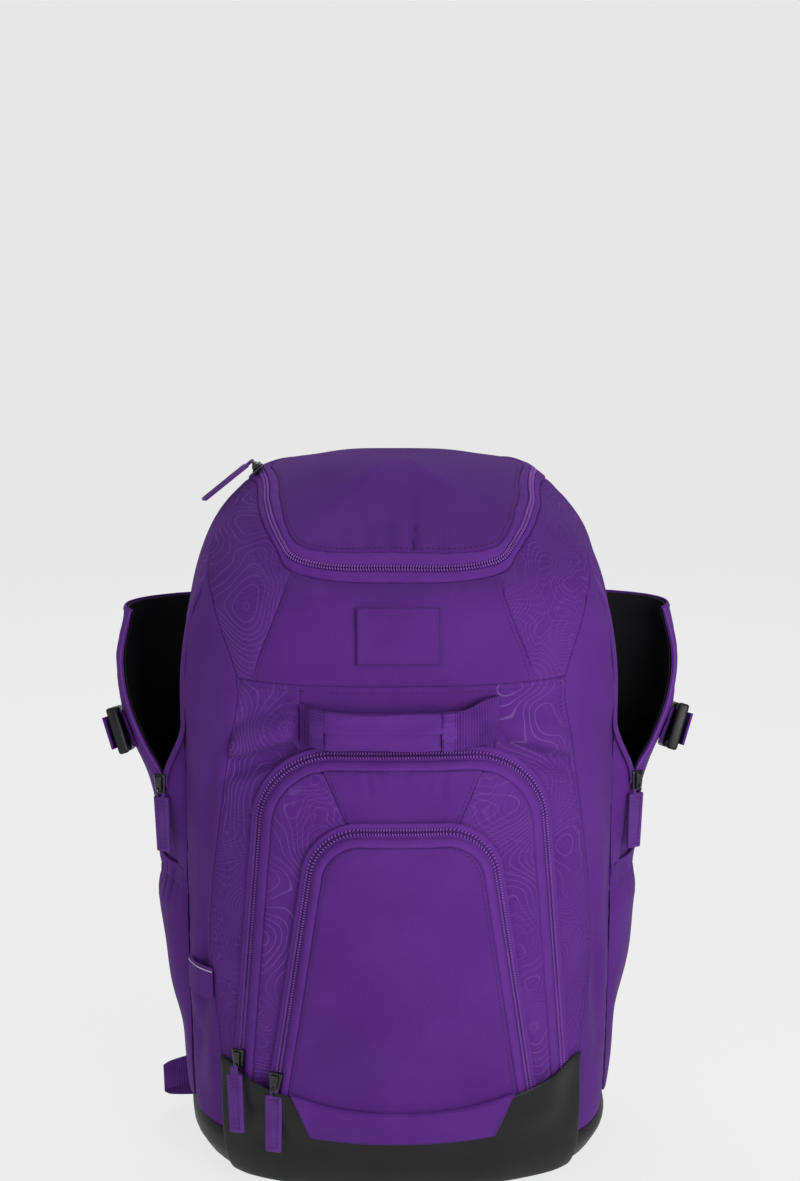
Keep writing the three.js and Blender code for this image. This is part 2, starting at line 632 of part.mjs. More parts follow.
const outerEnd = outerBand(0.0246, CHAIN_LINE);
zipEnd(
  'outer', outerEnd, [0.02, 0, -1], unit([-0.5, -0.86, 0]),
  unit([0.04, -0.34, -1]), unit([-0.5, -0.84, 0.24]), 2.2,
);
const innerEnd = innerBand(0.0205, CHAIN_LINE);
zipEnd(
  'inner', innerEnd, unit([-0.12, 0, -1]), unit([-0.35, -0.94, 0]),
  unit([-0.02, -0.12, -1]), unit([-0.25, -0.96, 0.1]), 2.0,
);
const lidEnd = skin(BODY, -104, ROW.zip + 0.5);
zipEnd(
  'lid', lidEnd, unit([-0.25, 0.75, 0.2]), unit([-0.72, -0.1, 0.7]),
  unit([-0.72, -0.3, -0.66]), unit([-0.68, 0, 0.73]), 5.2,
);
for (const { tag, side } of SIDES) {
  const p = mirror(add(sleevePoint(0, SLIDER_Z), [2, -4, 0]), side);
  const out = unit([side * 0.5, -0.86, 0]);
  zipEnd(`sleeve_${tag}`, p, unit([side * -0.08, 0, -1]), out, unit([side * -0.05, -0.12, -1]), out, 0.4);
}

// Plain back: two padded shoulder straps, their webbing and adjusters
const PAD = { top: 474, foot: 190, topX: 52, footX: 92, width: 62, arch: 22, thick: 9 };

function padLine(v) {
  const x = lerp(PAD.topX, PAD.footX, v) + 14 * Math.sin(Math.PI * v);
  const z = lerp(PAD.top, PAD.foot, v);
  const y = 92.5 - 4.7 * (1 - smooth(0, 0.12, v)) + PAD.arch * Math.sin(Math.PI * v) ** 0.8;
  return [x, y, z];
}

for (const { tag, side } of SIDES) {
  const core = [side * 80, -200, 330];
  part(`pad_${tag}`, sheet((u, v) => {
    const p = padLine(v);
    const half = 0.5 * PAD.width * lerp(1, 0.62, smooth(0.6, 1, v));
    return mirror([p[0] + lerp(-half, half, u), p[1], p[2]], side);
  }, 3, 12, 0, PAD.thick, core), PURPLE);
  part(`adjuster_${tag}`, moulded(
    [[-18, 0], [18, 0], [18, 26], [12, 30], [-12, 30], [-18, 26]], 6,
    [side * PAD.footX, 94.5, PAD.foot - 10.2], [side * 0.25, 0, -1], [0, 1, 0],
  ), BLACK, 0.4);
  part(`webbing_${tag}`, sheet((u, v) => {
    const x = lerp(PAD.footX + 8.5, 128, u) + lerp(-0.5, 0.5, v) * WEBBING;
    const z = lerp(PAD.foot - 40.2, 40, u) + lerp(-3, 3, v);
    return [side * x, lerp(94, 90, smooth(0.5, 1, u)) + 7 * Math.sin(Math.PI * u), z];
  }, 8, 1, 0, 1.8, core), PURPLE);
}

// The bag is centred over the origin
const box = new THREE.Box3().setFromObject(group);
const shift = [-(box.min.x + box.max.x) / 2, -(box.min.y + box.max.y) / 2, -box.min.z];
for (const mesh of group.children) mesh.geometry.translate(...shift);

export default group;
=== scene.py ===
# %% [markdown]
# A purple sports backpack stands upright on its black base. On the real bag almost every piece is sewn
# cloth: panels that roll into their seams, zip tapes with a coil, webbing, and a few moulded parts.
# The solids that are loaded here hold the sizes. Each one is dressed by a finer piece in the same place.

# %% Load the frame
import math

import bpy
import numpy as np
from mathutils import Matrix, Vector


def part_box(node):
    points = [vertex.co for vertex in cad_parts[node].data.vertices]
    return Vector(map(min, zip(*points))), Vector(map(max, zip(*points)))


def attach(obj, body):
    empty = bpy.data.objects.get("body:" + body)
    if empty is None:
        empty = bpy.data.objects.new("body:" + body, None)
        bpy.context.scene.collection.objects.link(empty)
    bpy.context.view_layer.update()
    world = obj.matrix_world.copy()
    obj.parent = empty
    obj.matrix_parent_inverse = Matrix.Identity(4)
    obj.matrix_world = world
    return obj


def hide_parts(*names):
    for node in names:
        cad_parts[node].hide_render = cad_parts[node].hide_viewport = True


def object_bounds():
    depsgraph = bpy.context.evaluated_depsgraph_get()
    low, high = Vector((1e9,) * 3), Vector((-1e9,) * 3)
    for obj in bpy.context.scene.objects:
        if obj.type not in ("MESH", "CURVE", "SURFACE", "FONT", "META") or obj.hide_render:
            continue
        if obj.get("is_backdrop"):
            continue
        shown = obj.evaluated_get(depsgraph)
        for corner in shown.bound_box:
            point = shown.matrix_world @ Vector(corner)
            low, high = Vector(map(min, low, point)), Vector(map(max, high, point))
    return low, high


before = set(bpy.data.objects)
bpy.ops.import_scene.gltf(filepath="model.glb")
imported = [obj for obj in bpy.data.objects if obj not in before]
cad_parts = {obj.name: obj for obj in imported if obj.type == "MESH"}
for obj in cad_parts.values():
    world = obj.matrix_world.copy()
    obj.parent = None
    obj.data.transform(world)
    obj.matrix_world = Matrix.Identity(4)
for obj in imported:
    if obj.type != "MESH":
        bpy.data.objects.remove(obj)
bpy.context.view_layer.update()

bpy.ops.object.select_all(action="DESELECT")

# %% [markdown]
# The photograph was taken from a little above, almost straight on, with a long lens. A camera is placed
# on a sphere round the point it aims at, so that distance, height and side are three plain numbers.

# %% Camera
AIM = Vector((0.001, 0.0, 0.432))
CAMERA_FAR = 1.70
CAMERA_UP = math.radians(13)
CAMERA_SIDE = math.radians(-1.5)
LENS = 69.8

back = Vector((
    math.sin(CAMERA_SIDE) * math.cos(CAMERA_UP),
    -math.cos(CAMERA_SIDE) * math.cos(CAMERA_UP),
    math.sin(CAMERA_UP),
))
bpy.ops.object.camera_add(location=AIM + back * CAMERA_FAR)
camera = bpy.context.object
camera.rotation_euler = (-back).to_track_quat("-Z", "Y").to_euler()
camera.data.lens = LENS
bpy.context.scene.camera = camera
bpy.context.scene.view_settings.view_transform = "Standard"
print("camera at", [round(c, 3) for c in camera.location])

# %% [markdown]
# A studio table is a pale, glowing floor in soft light. The lamp on the right is near and the stronger
# one, as the right half of the bag is the brighter. The world fills the shadows, and the camera sees it
# as bright as the far floor, so that no horizon shows.

# %% Floor and light
FLOOR_SIZE = 60
FLOOR_PALE = (0.1, 0.1, 0.1, 1)
FLOOR_GLOW = 0.76
BACKDROP = 0.8
AMBIENT = 0.39
LIT_POINT = Vector((0, 0, 0.28))
LAMPS = {
    "key": {"place": (0.50, -0.86, 0.56), "size": 0.55, "power": 7.8},
    "fill": {"place": (-1.1, -1.3, 0.7), "size": 1.0, "power": 3.5},
    "rear": {"place": (-0.2, 0.9, 1.5), "size": 1.2, "power": 13.0},
}

bpy.ops.mesh.primitive_plane_add(size=FLOOR_SIZE)
floor = bpy.context.object
floor.name = "floor"
floor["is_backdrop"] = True
for lamp_name, lamp in LAMPS.items():
    turn = (LIT_POINT - Vector(lamp["place"])).to_track_quat("-Z", "Y").to_euler()
    bpy.ops.object.light_add(type="AREA", location=lamp["place"], rotation=turn)
    bpy.context.object.name = lamp_name
    bpy.context.object.data.size = lamp["size"]
    bpy.context.object.data.energy = lamp["power"]
world = bpy.data.worlds.new("studio")
world.use_nodes = True
sky = world.node_tree.nodes["Background"]
seen = world.node_tree.nodes.new("ShaderNodeLightPath").outputs["Is Camera Ray"]
dim = world.node_tree.nodes.new("ShaderNodeMapRange")
dim.inputs["To Min"].default_value = AMBIENT
dim.inputs["To Max"].default_value = BACKDROP
world.node_tree.links.new(seen, dim.inputs["Value"])
world.node_tree.links.new(dim.outputs["Result"], sky.inputs["Strength"])
sky.inputs["Color"].default_value = (1, 1, 1, 1)
bpy.context.scene.world = world
print("lamps:", ", ".join(LAMPS))

# %% [markdown]
# Shader maths is easier to read as sums than as boxes and wires. This class wraps one socket, so that
# `1 - mask` or `weave * 0.5` adds the Math node by itself. Every other node comes from `node`.

# %% Shader yarn
class Yarn:
    """A shader socket that works like a number."""

    def __init__(self, tree, socket):
        self.tree = tree
        self.socket = socket

    def node(self, kind, settings=None, inputs=None, out=0):
        """Adds a node of any kind: its settings first, then the values or links of its sockets."""
        made = self.tree.nodes.new(kind)
        for key, value in (settings or {}).items():
            setattr(made, key, value)
        for key, value in (inputs or {}).items():
            if isinstance(value, Yarn):
                self.tree.links.new(value.socket, made.inputs[key])
            else:
                made.inputs[key].default_value = value
        return Yarn(self.tree, made.outputs[out])

    def math(self, operation, other=0.0, swap=False):
        first, second = (other, self) if swap else (self, other)
        return self.node("ShaderNodeMath", {"operation": operation}, {0: first, 1: second})

    def __add__(self, other):
        return self.math("ADD", other)

    def __sub__(self, other):
        return self.math("SUBTRACT", other)

    def __rsub__(self, other):
        return self.math("SUBTRACT", other, swap=True)

    def __mul__(self, other):
        return self.math("MULTIPLY", other)

    def __truediv__(self, other):
        return self.math("DIVIDE", other)

    __radd__ = __add__
    __rmul__ = __mul__


def between(share, first, second):
    """A colour between two others."""
    settings = {"data_type": "RGBA", "clamp_factor": True}
    return share.node("ShaderNodeMix", settings, {0: share, 6: first, 7: second}, out=2)


def ramp(value, low, high):
    """0 up to low, 1 from high on, and a straight rise between."""
    return value.node("ShaderNodeMapRange", {"clamp": True}, {0: value, 1: low, 2: high})


def start(name, roughness=0.8, sheen=0.0, specular=0.5):
    """A new material, its shader and its Object coordinates."""
    material = bpy.data.materials.new(name)
    material.use_nodes = True
    tree = material.node_tree
    shader = tree.nodes["Principled BSDF"]
    shader.inputs["Roughness"].default_value = roughness
    shader.inputs["Sheen Weight"].default_value = sheen
    shader.inputs["Specular IOR Level"].default_value = specular
    place = Yarn(tree, tree.nodes.new("ShaderNodeTexCoord").outputs["Object"])
    return material, shader, place


def feed(shader, socket, yarn):
    yarn.tree.links.new(yarn.socket, shader.inputs[socket])


def raise_by(shader, height, strength, depth):
    """Turns a height into small bumps."""
    settings = {"Strength": strength, "Distance": depth, "Height": height}
    feed(shader, "Normal", height.node("ShaderNodeBump", None, settings))


def cloud(place, scale, detail=2.0):
    return place.node("ShaderNodeTexNoise", None, {"Vector": place, "Scale": scale, "Detail": detail})


print("shader yarn ready")

# %% [markdown]
# Woven polyester is two sets of threads that pass over and under each other. The product of two sine
# waves along the cloth's own UV map gives that chequer of small bumps, because the UV map of every sewn
# piece is measured in metres. A slow cloud of lighter and darker dye keeps the panels from looking flat.

# %% Woven cloths
PURPLE = (0.088, 0.0215, 0.192, 1)
DEEP_PURPLE = (0.074, 0.0165, 0.164, 1)
INK = (0.24, 0.135, 0.38, 1)
THREAD_PITCH = 0.0013
DYE_CLOUD, FUZZ_CLOUD = 16, 900
CLOTH_SHINE = 0.06


def cut_axes(place):
    """The two directions of a piece's own UV map, in metres of cloth."""
    flat = place.node("ShaderNodeUVMap", {"uv_map": "UVMap"})
    return [place.node("ShaderNodeSeparateXYZ", None, {0: flat}, out=axis) for axis in (0, 1)]


def weave(place, *pitches):
    """One wave, from -1 to 1, for each set of threads."""
    return [(run * (2 * math.pi / pitch)).math("SINE") for run, pitch in zip(cut_axes(place), pitches)]


def woven(name, light, dark, pitch, roughness, sheen, bump, print_on=None):
    """Plain weave; print_on gives a mask of ink, which is smoother than the threads."""
    material, shader, place = start(name, roughness, sheen, CLOTH_SHINE)
    over, under = weave(place, pitch, pitch)
    height = over * under
    colour = between(ramp(cloud(place, DYE_CLOUD) + height * 0.06, 0.3, 0.72), dark, light)
    if print_on:
        ink = print_on(place)
        colour = between(ink, colour, INK)
        feed(shader, "Roughness", roughness - ink * 0.3)
        height = height * (1 - ink * 0.7)
    feed(shader, "Base Color", colour)
    raise_by(shader, height + cloud(place, FUZZ_CLOUD, 1.0) * 0.8, bump, 0.0004)
    return material


CLOTH = woven("cloth", PURPLE, DEEP_PURPLE, THREAD_PITCH, 0.78, 0.025, 0.4)
SMOOTH = woven("smooth_cloth", PURPLE, DEEP_PURPLE, 0.0008, 0.68, 0.025, 0.18)
LINING = woven("lining", (0.014, 0.013, 0.015, 1), (0.009, 0.0085, 0.01, 1), 0.001, 0.6, 0.0, 0.3)
print("woven cloths:", CLOTH.name, SMOOTH.name, LINING.name)

# %% [markdown]
# Some panels carry a map-like print of thin contour lines. A noise field is the land, and its height is
# cut into even steps. Dividing by the slope, measured with three more looks at the noise a millimetre
# away, keeps the lines equally thin on steep and on gentle ground.

# %% Contour print
CONTOURS = {
    "bold": {"scale": 11.0, "steps": 46, "half": 0.00022},
    "faint": {"scale": 17.0, "steps": 50, "half": 0.00018},
}
PROBE = 0.001


def contour_lines(place, scale, steps, half):
    """1 on the lines of equal height of a noise field, 0 between them."""

    def land(offset):
        moved = place.node("ShaderNodeVectorMath", {"operation": "ADD"}, {0: place, 1: offset})
        return cloud(moved, scale, 1.2)

    here = land((0, 0, 0))
    slopes = [(land(step) - here) / PROBE for step in ((PROBE, 0, 0), (0, PROBE, 0), (0, 0, PROBE))]
    steep = sum(slope * slope for slope in slopes).math("SQRT") + 0.6
    off_line = ((here * steps).math("FRACT") - 0.5).math("ABSOLUTE") / (steep * steps)
    return (1 - ramp(off_line, half * 0.4, half * 1.5)) * ramp(steep, 1.2, 2.8)


def contour_ink(place):
    """Lines bold in slow patches and faint between them; the bold patches are painted sheen of the glossy
    ink.
    """
    # Painted sheen: slow patches where the ink's lines are bolder.
    sheen_patch = ramp(cloud(place, 9, 1.0), 0.46, 0.7)
    bold = contour_lines(place, **CONTOURS["bold"]) * (sheen_patch * 0.3 + 0.08)
    return bold + contour_lines(place, **CONTOURS["faint"]) * (1 - sheen_patch) * 0.13


PRINT = woven("print", PURPLE, DEEP_PURPLE, THREAD_PITCH, 0.78, 0.01, 0.34, contour_ink)
print("contour print:", ", ".join(CONTOURS), "lines")

# %% [markdown]
# Webbing is woven thick, with ribs across its length. Zip tape is a finer copy of it, with painted shade
# along the groove under its coil. The black base is cloth with a rubbery coat: nearly smooth, with a fine
# grain.
# Moulded parts are satin or gloss plastic.

# %% Webbing, tape, coat and moulded finishes
LIGHT_TAPE, DARK_TAPE = (0.104, 0.027, 0.224, 1), (0.088, 0.021, 0.194, 1)
LIGHT_WEBBING, DARK_WEBBING = (0.098, 0.025, 0.212, 1), (0.05, 0.011, 0.118, 1)
# Size and share of the painted shade along the groove under the coil.
GROOVE_SHADE = {"half_wide": 0.0025, "half_long": 0.262, "edge": 0.0003, "shade": 0.62}


def shaded(colour, share):
    return tuple(c * share for c in colour[:3]) + (1,)


def ribbed(name, light, dark, rib, cross, roughness, bump, groove=False):
    material, shader, place = start(name, roughness, 0.01, CLOTH_SHINE)
    over, under = weave(place, rib, cross)
    height = over * 0.7 + over * under * 0.5
    colour = between(ramp(height * 0.25 + cloud(place, 40), 0.2, 0.8), dark, light)
    # Painted shade: the colour is darkened in a strip along the groove under the coil.
    if groove:
        outside = 0
        for axis, half in zip(cut_axes(place), (GROOVE_SHADE["half_long"], GROOVE_SHADE["half_wide"])):
            far = axis.math("ABSOLUTE")
            outside = ramp(far, half - GROOVE_SHADE["edge"], half + GROOVE_SHADE["edge"]) + outside
        colour = between(outside, shaded(dark, GROOVE_SHADE["shade"]), colour)
    feed(shader, "Base Color", colour)
    raise_by(shader, height, bump, 0.0006)
    return material


def moulded(name, colour, roughness, grain, specular=0.5, coat=0.0):
    material, shader, place = start(name, roughness, 0.0, specular)
    shader.inputs["Coat Weight"].default_value = coat
    speck = cloud(place, grain, 3.0)
    feed(shader, "Base Color", between(ramp(cloud(place, 60), 0.3, 0.7), shaded(colour, 0.8), colour))
    feed(shader, "Roughness", ramp(speck, 0.2, 0.8) * 0.2 + (roughness - 0.1))
    raise_by(shader, speck, 0.12, 0.0003)
    return material


WEBBING = ribbed("webbing", LIGHT_WEBBING, DARK_WEBBING, 0.0023, 0.0017, 0.75, 0.8)
TAPE = ribbed("tape", LIGHT_TAPE, DARK_TAPE, 0.0009, 0.0011, 0.72, 0.3)
ZIP_TAPE = ribbed("zip_tape", LIGHT_TAPE, DARK_TAPE, 0.0009, 0.0011, 0.72, 0.3, groove=True)
COATED = moulded("coated", (0.0105, 0.0105, 0.0115, 1), 0.5, 1400, 0.22)
COIL = moulded("coil", (0.2, 0.065, 0.36, 1), 0.5, 500, 0.15)
PULL = moulded("pull", (0.094, 0.026, 0.2, 1), 0.55, 700, 0.15)
HARD = moulded("hardware", (0.007, 0.0066, 0.0078, 1), 0.42, 900, 0.28)
SLIDER = moulded("slider", (0.004, 0.004, 0.0045, 1), 0.24, 300, 0.45, 0.2)
# The purple thread is darker than the cloth: partly its own colour, partly painted shade of the needle
# holes.
THREAD = moulded("thread", (0.045, 0.011, 0.105, 1), 0.7, 900, 0.3)
DARK_THREAD = moulded("dark_thread", (0.012, 0.011, 0.014, 1), 0.7, 900, 0.3)
WHITE_THREAD = moulded("white_thread", (0.78, 0.76, 0.8, 1), 0.6, 900, 0.4)
FLOOR, floor_shader, _ = start("floor_paint", 0.95, 0.0, 0.0)
floor_shader.inputs["Emission Color"].default_value = (1, 1, 1, 1)
floor_shader.inputs["Emission Strength"].default_value = FLOOR_GLOW
floor_shader.inputs["Base Color"].default_value = FLOOR_PALE
floor.data.materials.append(FLOOR)
print("finishes made:", len(bpy.data.materials))

# %% [markdown]
# The bag is soft, but it keeps a shape: rounded sections stacked from the base to the crown. A small
# table holds them, and a smooth run through its rows gives any section between. All sizes here are
# millimetres, in the frame in which the bag was drawn, and `SHIFT` moves the result over the origin.

# %% Sections of the bag
MM = 0.001
MID_Y = 5.0
DROP_POWER = 1.6


class Sections:
    """Rows of a table with named columns, and a smooth run through them."""

    def __init__(self, columns, rows):
        self.columns = columns.split()
        self.names = list(rows)
        self.values = np.array(list(rows.values()), float)
        self.fine = np.linspace(0, len(self.values) - 1, 2001)

    def row(self, name):
        return self.names.index(name)

    def at(self, t):
        t = np.asarray(t, float)
        last = len(self.values) - 1
        i = np.clip(np.floor(t).astype(int), 0, last - 1)
        u = (t - i)[..., None]
        a, b, c, d = (self.values[np.clip(i + k, 0, last)] for k in (-1, 0, 1, 2))
        run = 2 * b + (c - a) * u + (2 * a - 5 * b + 4 * c - d) * u**2 + (3 * b - a - 3 * c + d) * u**3
        return {name: 0.5 * run[..., k] for k, name in enumerate(self.columns)}

    def find(self, value, column="z"):
        return np.interp(value, self.at(self.fine)[column], self.fine)


BODY = Sections("z drop half front back nf nb gusset side", {
    "rim": (31, 0, 158, -123, 89, 2.8, 5, 46, 78),
    "foot": (66, 0, 160, -120, 90, 2.7, 5, 48, 78),
    "low": (112, 0, 161, -115, 91, 2.6, 5, 53, 78),
    "belly": (190, 0, 162, -112, 92, 2.6, 5, 57, 78),
    "waist": (320, 0, 163, -106, 92, 2.6, 5, 46, 78),
    "chest": (392, 9, 161.5, -103, 91, 2.6, 5, 42, 84),
    "arm": (455, 28, 150, -93, 89, 2.6, 4.5, 62, 84),
    "upper": (489, 45, 134, -82, 86, 2.8, 4.5, 82, 84),
    "zip": (513, 61, 110.5, -70, 82, 2.8, 5.2, 82, 84),
    "lid": (520, 49.5, 92.5, -55, 76, 3.1, 5.2, 82, 84),
    "dome": (526, 36, 62, -30, 67, 3, 4, 82, 84),
    "crown": (529, 14, 28, 0, 52, 2.6, 3, 82, 84),
})
BASE = Sections("z drop half front back nf nb", {
    "floor": (0, 0, 133, -99, 72, 3, 4),
    "heel": (5, 0, 147, -114, 83, 2.9, 4.5),
    "rise": (16, 0, 156, -122, 88, 2.8, 5),
    "rim": (30, 0, 159, -125, 90, 2.8, 5),
    "crest": (66, 0, 160, -126, 91, 2.8, 5),
})
CHEST, ARM, ZIP, CROWN = (BODY.row(name) for name in ("chest", "arm", "zip", "crown"))
SHIFT = np.array([0.0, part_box("base_cup")[0].y / MM - BASE.at(BASE.row("rim"))["front"], 0.0])


def points(x, y, z):
    return np.stack(np.broadcast_arrays(x, y, z), -1)


def signed(value, power):
    """A power that keeps the sign, for rounded boxes."""
    return np.sign(value) * np.abs(value) ** power


def height_of(row, y):
    """Height of a section at a depth: the upper ones lean down towards the front."""
    fall = np.clip((row["back"] - y) / (row["back"] - row["front"]), 0, 1) ** DROP_POWER
    return row["z"] - row["drop"] * fall


def skin(table, angle, t):
    """A point of the skin: angle in degrees from the front middle, t the row number."""
    row = table.at(t)
    s, c = np.sin(np.radians(angle)), np.cos(np.radians(angle))
    power = np.where(c > 0, 2 / row["nf"], 2 / row["nb"])
    deep = np.where(c > 0, MID_Y - row["front"], row["back"] - MID_Y)
    y = MID_Y - deep * signed(c, power)
    return points(row["half"] * signed(s, power), y, height_of(row, y))


def front_y(x, z):
    """Depth of the front skin at a point seen from the front."""
    x, z = np.broadcast_arrays(np.asarray(x, float), np.asarray(z, float))
    y = np.full(x.shape, -100.0)
    t = np.clip(BODY.find(z), 0, ZIP)
    for _ in range(14):
        here = height_of(BODY.at(t), y)
        slope = np.maximum((height_of(BODY.at(t + 1e-3), y) - here) / 1e-3, 5)
        t = np.clip(t + np.clip((z - here) / slope, -0.5, 0.5), 0, ZIP)
        row = BODY.at(t)
        round_off = np.clip(1 - (np.abs(x) / row["half"]) ** row["nf"], 0, 1)
        y = MID_Y - (MID_Y - row["front"]) * round_off ** (1 / row["nf"])
    return y


print("front skin at the handle:", float(front_y(0, 356).round(1)), "mm; shift", SHIFT.round(2))

# %% [markdown]
# Every cloth panel starts as a flat grid, the way cloth is cut, and its points are then laid on the bag.
# `laid` spaces the points evenly, with a few more beside the edges, where a seam turns the cloth in.
# `dress` gives the seam its roll, the small puckers that a sewing machine pulls, and the soft unevenness
# of a filled bag.

# %% Laying and dressing a net of points
SEAM_STEPS = np.array([0, 0.35, 0.9, 1.8, 3.2])
SEAM_ROOM = 5


def mix(a, b, t):
    return a + (b - a) * t


def smooth(a, b, v):
    t = np.clip((v - a) / (b - a), 0, 1)
    return t * t * (3 - 2 * t)


def bell(v):
    return np.exp(-(v**2))


def rolled(far, reach):
    """A quarter round: 1 at an edge, 0 from the reach on."""
    q = np.clip(1 - far / reach, 0, 1)
    return 1 - np.sqrt(1 - q * q)


def unit(v):
    v = np.asarray(v, float)
    return v / np.maximum(np.linalg.norm(v, axis=-1, keepdims=True), 1e-9)


def lengths(net, axis):
    """Running length along the rows (axis 1) or the columns (axis 0) of a net."""
    steps = np.linalg.norm(np.diff(net, axis=axis), axis=2)
    return np.concatenate([np.zeros_like(np.take(steps, [0], axis)), np.cumsum(steps, axis)], axis)


def line_run(line):
    return lengths(line[None], 1)[0]


def stepped(line, run, stops):
    """The points of a line at some running lengths."""
    return np.stack([np.interp(stops, run, column) for column in line.T], -1)


def laid(surface, step, ring=False, ends=True):
    """A net over surface(u, v), with even steps of about that length."""
    fine = np.linspace(0, 1, 1201)
    half = np.full(1201, 0.5)

    def even(line, closed):
        run = line_run(line)
        room = 0 if closed else SEAM_ROOM
        stops = np.linspace(room, run[-1] - room, max(3, round((run[-1] - 2 * room) / step)) + 1)
        if not closed:
            stops = np.concatenate([SEAM_STEPS, stops, run[-1] - SEAM_STEPS[::-1]])
        return np.interp(stops, run, fine)

    u = even(surface(fine, half), ring)
    v = even(surface(half * 0.6, fine), not ends)
    return surface(*np.meshgrid(u, v))


def normals(net, ring=False):
    wide = np.concatenate([net[:, -2:-1], net, net[:, 1:2]], 1) if ring else net
    n = np.cross(np.gradient(wide, axis=1), np.gradient(wide, axis=0))
    return unit(n[:, 1:-1] if ring else n)


def lifted(net, height, ring=False):
    return net + normals(net, ring) * np.asarray(height)[..., None]


def ripple(s, pitch, seed):
    """An uneven wave along a line."""
    rng = np.random.default_rng(seed)
    waves = [np.sin(s * 2 * np.pi / (pitch * rng.uniform(0.6, 1.9)) + rng.uniform(0, 7)) for _ in range(5)]
    return sum(waves) / 2.5


def swell(net, size, seed):
    """Soft lumps of about that size."""
    rng = np.random.default_rng(seed)
    total = 0
    for _ in range(7):
        way = rng.normal(size=3)
        way *= 2 * np.pi / (np.linalg.norm(way) * size * rng.uniform(0.7, 1.6))
        total = total + np.sin(net @ way + rng.uniform(0, 7))
    return total / 3


def margins(net):
    """Distance of each point to the left, right, lower and upper edge."""
    across, along = lengths(net, 1), lengths(net, 0)
    return across, across[:, -1:] - across, along, along[-1:] - along


def dress(net, seed, roll=1.3, reach=3.4, pucker=0.4, soft=0.7, lump=55, edges="lrbt"):
    """The net with its edges rolled in, puckered beside the seams and softly uneven."""
    left, right, low, top = margins(net)
    move = soft * swell(net, lump, seed)
    for k, (far, run) in enumerate(((left, low), (right, low), (low, left), (top, left))):
        if "lrbt"[k] in edges:
            move = move * smooth(0, 18, far) - roll * rolled(far, reach)
            move = move + pucker * ripple(run, 13, seed * 10 + k) * np.exp(-far / 9) * smooth(0, 4, far)
    return lifted(net, move)


def crease(net, start, end, width, depth):
    """Presses a fold into a net, along a line seen from the front; the cloth stands up beside it."""
    a, b = np.array(start, float), np.array(end, float)
    flat = net[..., [0, 2]] - a
    share = np.clip(flat @ (b - a) / ((b - a) @ (b - a)), 0, 1)
    far = np.linalg.norm(flat - share[..., None] * (b - a), axis=-1) / width
    shape = bell(far) - 0.55 * bell((far - 1.9) / 0.8)
    fade = smooth(0, 0.25, share + 0.08) * smooth(0, 0.3, 1.08 - share)
    fade = fade * smooth(0, 8, np.minimum.reduce(margins(net)))
    return lifted(net, -depth * shape * fade)


print("needlework helpers ready")

# %% [markdown]
# `sew` makes the piece: Blender's own grid is added, its points are set to the net, and its UV map is
# written in metres of cloth. Solidify gives the cloth its wall and is applied at once.

# %% Sewing a piece
seams = {"thread": [], "dark_thread": [], "white_thread": []}


def finish_piece(piece, finish, nodes=None):
    """Material and a parent; without nodes, it replaces the solid named by all but its last word."""
    if nodes is None:
        nodes = [piece.name.rsplit("_", 1)[0]]
    piece.data.materials.clear()
    piece.data.materials.append(finish)
    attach(piece, "root")
    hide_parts(*nodes)
    piece.select_set(False)
    return piece


def sew(name, net, finish, nodes=None, thick=2.0, held="stretched", ring=False, zero=0):
    """A piece of cloth over a net; ring joins its sides, and UV y is 0 in the row named by zero."""
    bpy.ops.object.select_all(action="DESELECT")
    rows, columns = net.shape[:2]
    bpy.ops.mesh.primitive_grid_add(x_subdivisions=columns - 1, y_subdivisions=rows - 1)
    piece = bpy.context.object
    piece.name = name
    mesh = piece.data
    mesh.vertices.foreach_set("co", ((net + SHIFT) * MM).ravel())
    across, along = lengths(net, 1), lengths(net, 0)
    cut = np.stack([across - across[:, columns // 2][:, None], along - along[zero]], -1) * MM
    corner = np.empty(len(mesh.loops), int)
    mesh.loops.foreach_get("vertex_index", corner)
    mesh.uv_layers["UVMap"].data.foreach_set("uv", cut.reshape(-1, 2)[corner].ravel())
    mesh.update()
    if ring:
        bpy.ops.object.mode_set(mode="EDIT")
        bpy.ops.mesh.select_all(action="SELECT")
        bpy.ops.mesh.remove_doubles(threshold=0.00008)
        bpy.ops.object.mode_set(mode="OBJECT")
    if thick:
        wall = piece.modifiers.new("wall", "SOLIDIFY")
        wall.thickness = thick * MM
        wall.offset = -1
        bpy.ops.object.modifier_apply(modifier="wall")
    bpy.ops.object.shade_smooth_by_angle(angle=math.radians(55))
    finish_piece(piece, finish, nodes)
    if held:
        diagonals = np.cross(net[1:, 1:] - net[:-1, :-1], net[1:, :-1] - net[:-1, 1:])
    return piece


def mirrored(net):
    """The same cloth on the other side of the bag, with its face still outwards."""
    return net[:, ::-1] * np.array([-1, 1, 1])


def edge_line(net, edge, inset):
    """The line that keeps a distance from the left, right, lower or upper edge, and its outward way."""
    layers = np.concatenate([net, normals(net)], 2)
    if edge in "lr":
        layers = layers.transpose(1, 0, 2)
    if edge in "rt":
        layers = layers[::-1]
    run = lengths(layers[..., :3], 0)
    line = np.array([stepped(layers[:, k], run[:, k], inset) for k in range(layers.shape[1])])
    return line[:, :3], line[:, 3:]


def stitch_line(line, out, thread="thread", pitch=3.6, share=(0, 1)):
    """Notes a row of stitches; all rows are made into meshes at the end."""
    run = line_run(line)
    stops = np.arange(run[-1] * share[0] + pitch / 2, run[-1] * share[1], pitch)
    seams[thread].append([stepped(part, run, stops) for part in (line, np.gradient(line, axis=0), out)])


def topstitch(net, edges, inset, thread="thread", pitch=3.6, share=(0, 1)):
    for edge in edges:
        stitch_line(*edge_line(net, edge, inset), thread, pitch, share)


SIDES = (("r", 1, lambda net: net), ("l", -1, mirrored))
print("sewing ready")

# %% [markdown]
# The body is a ring of panels between seams: a plain yoke and middle panel in front, printed panels
# beside them, smooth gussets towards the sleeves, black walls inside the sleeves and one broad panel at
# the back. They meet edge to edge, and as each edge rolls in, every seam shows as a fine groove.

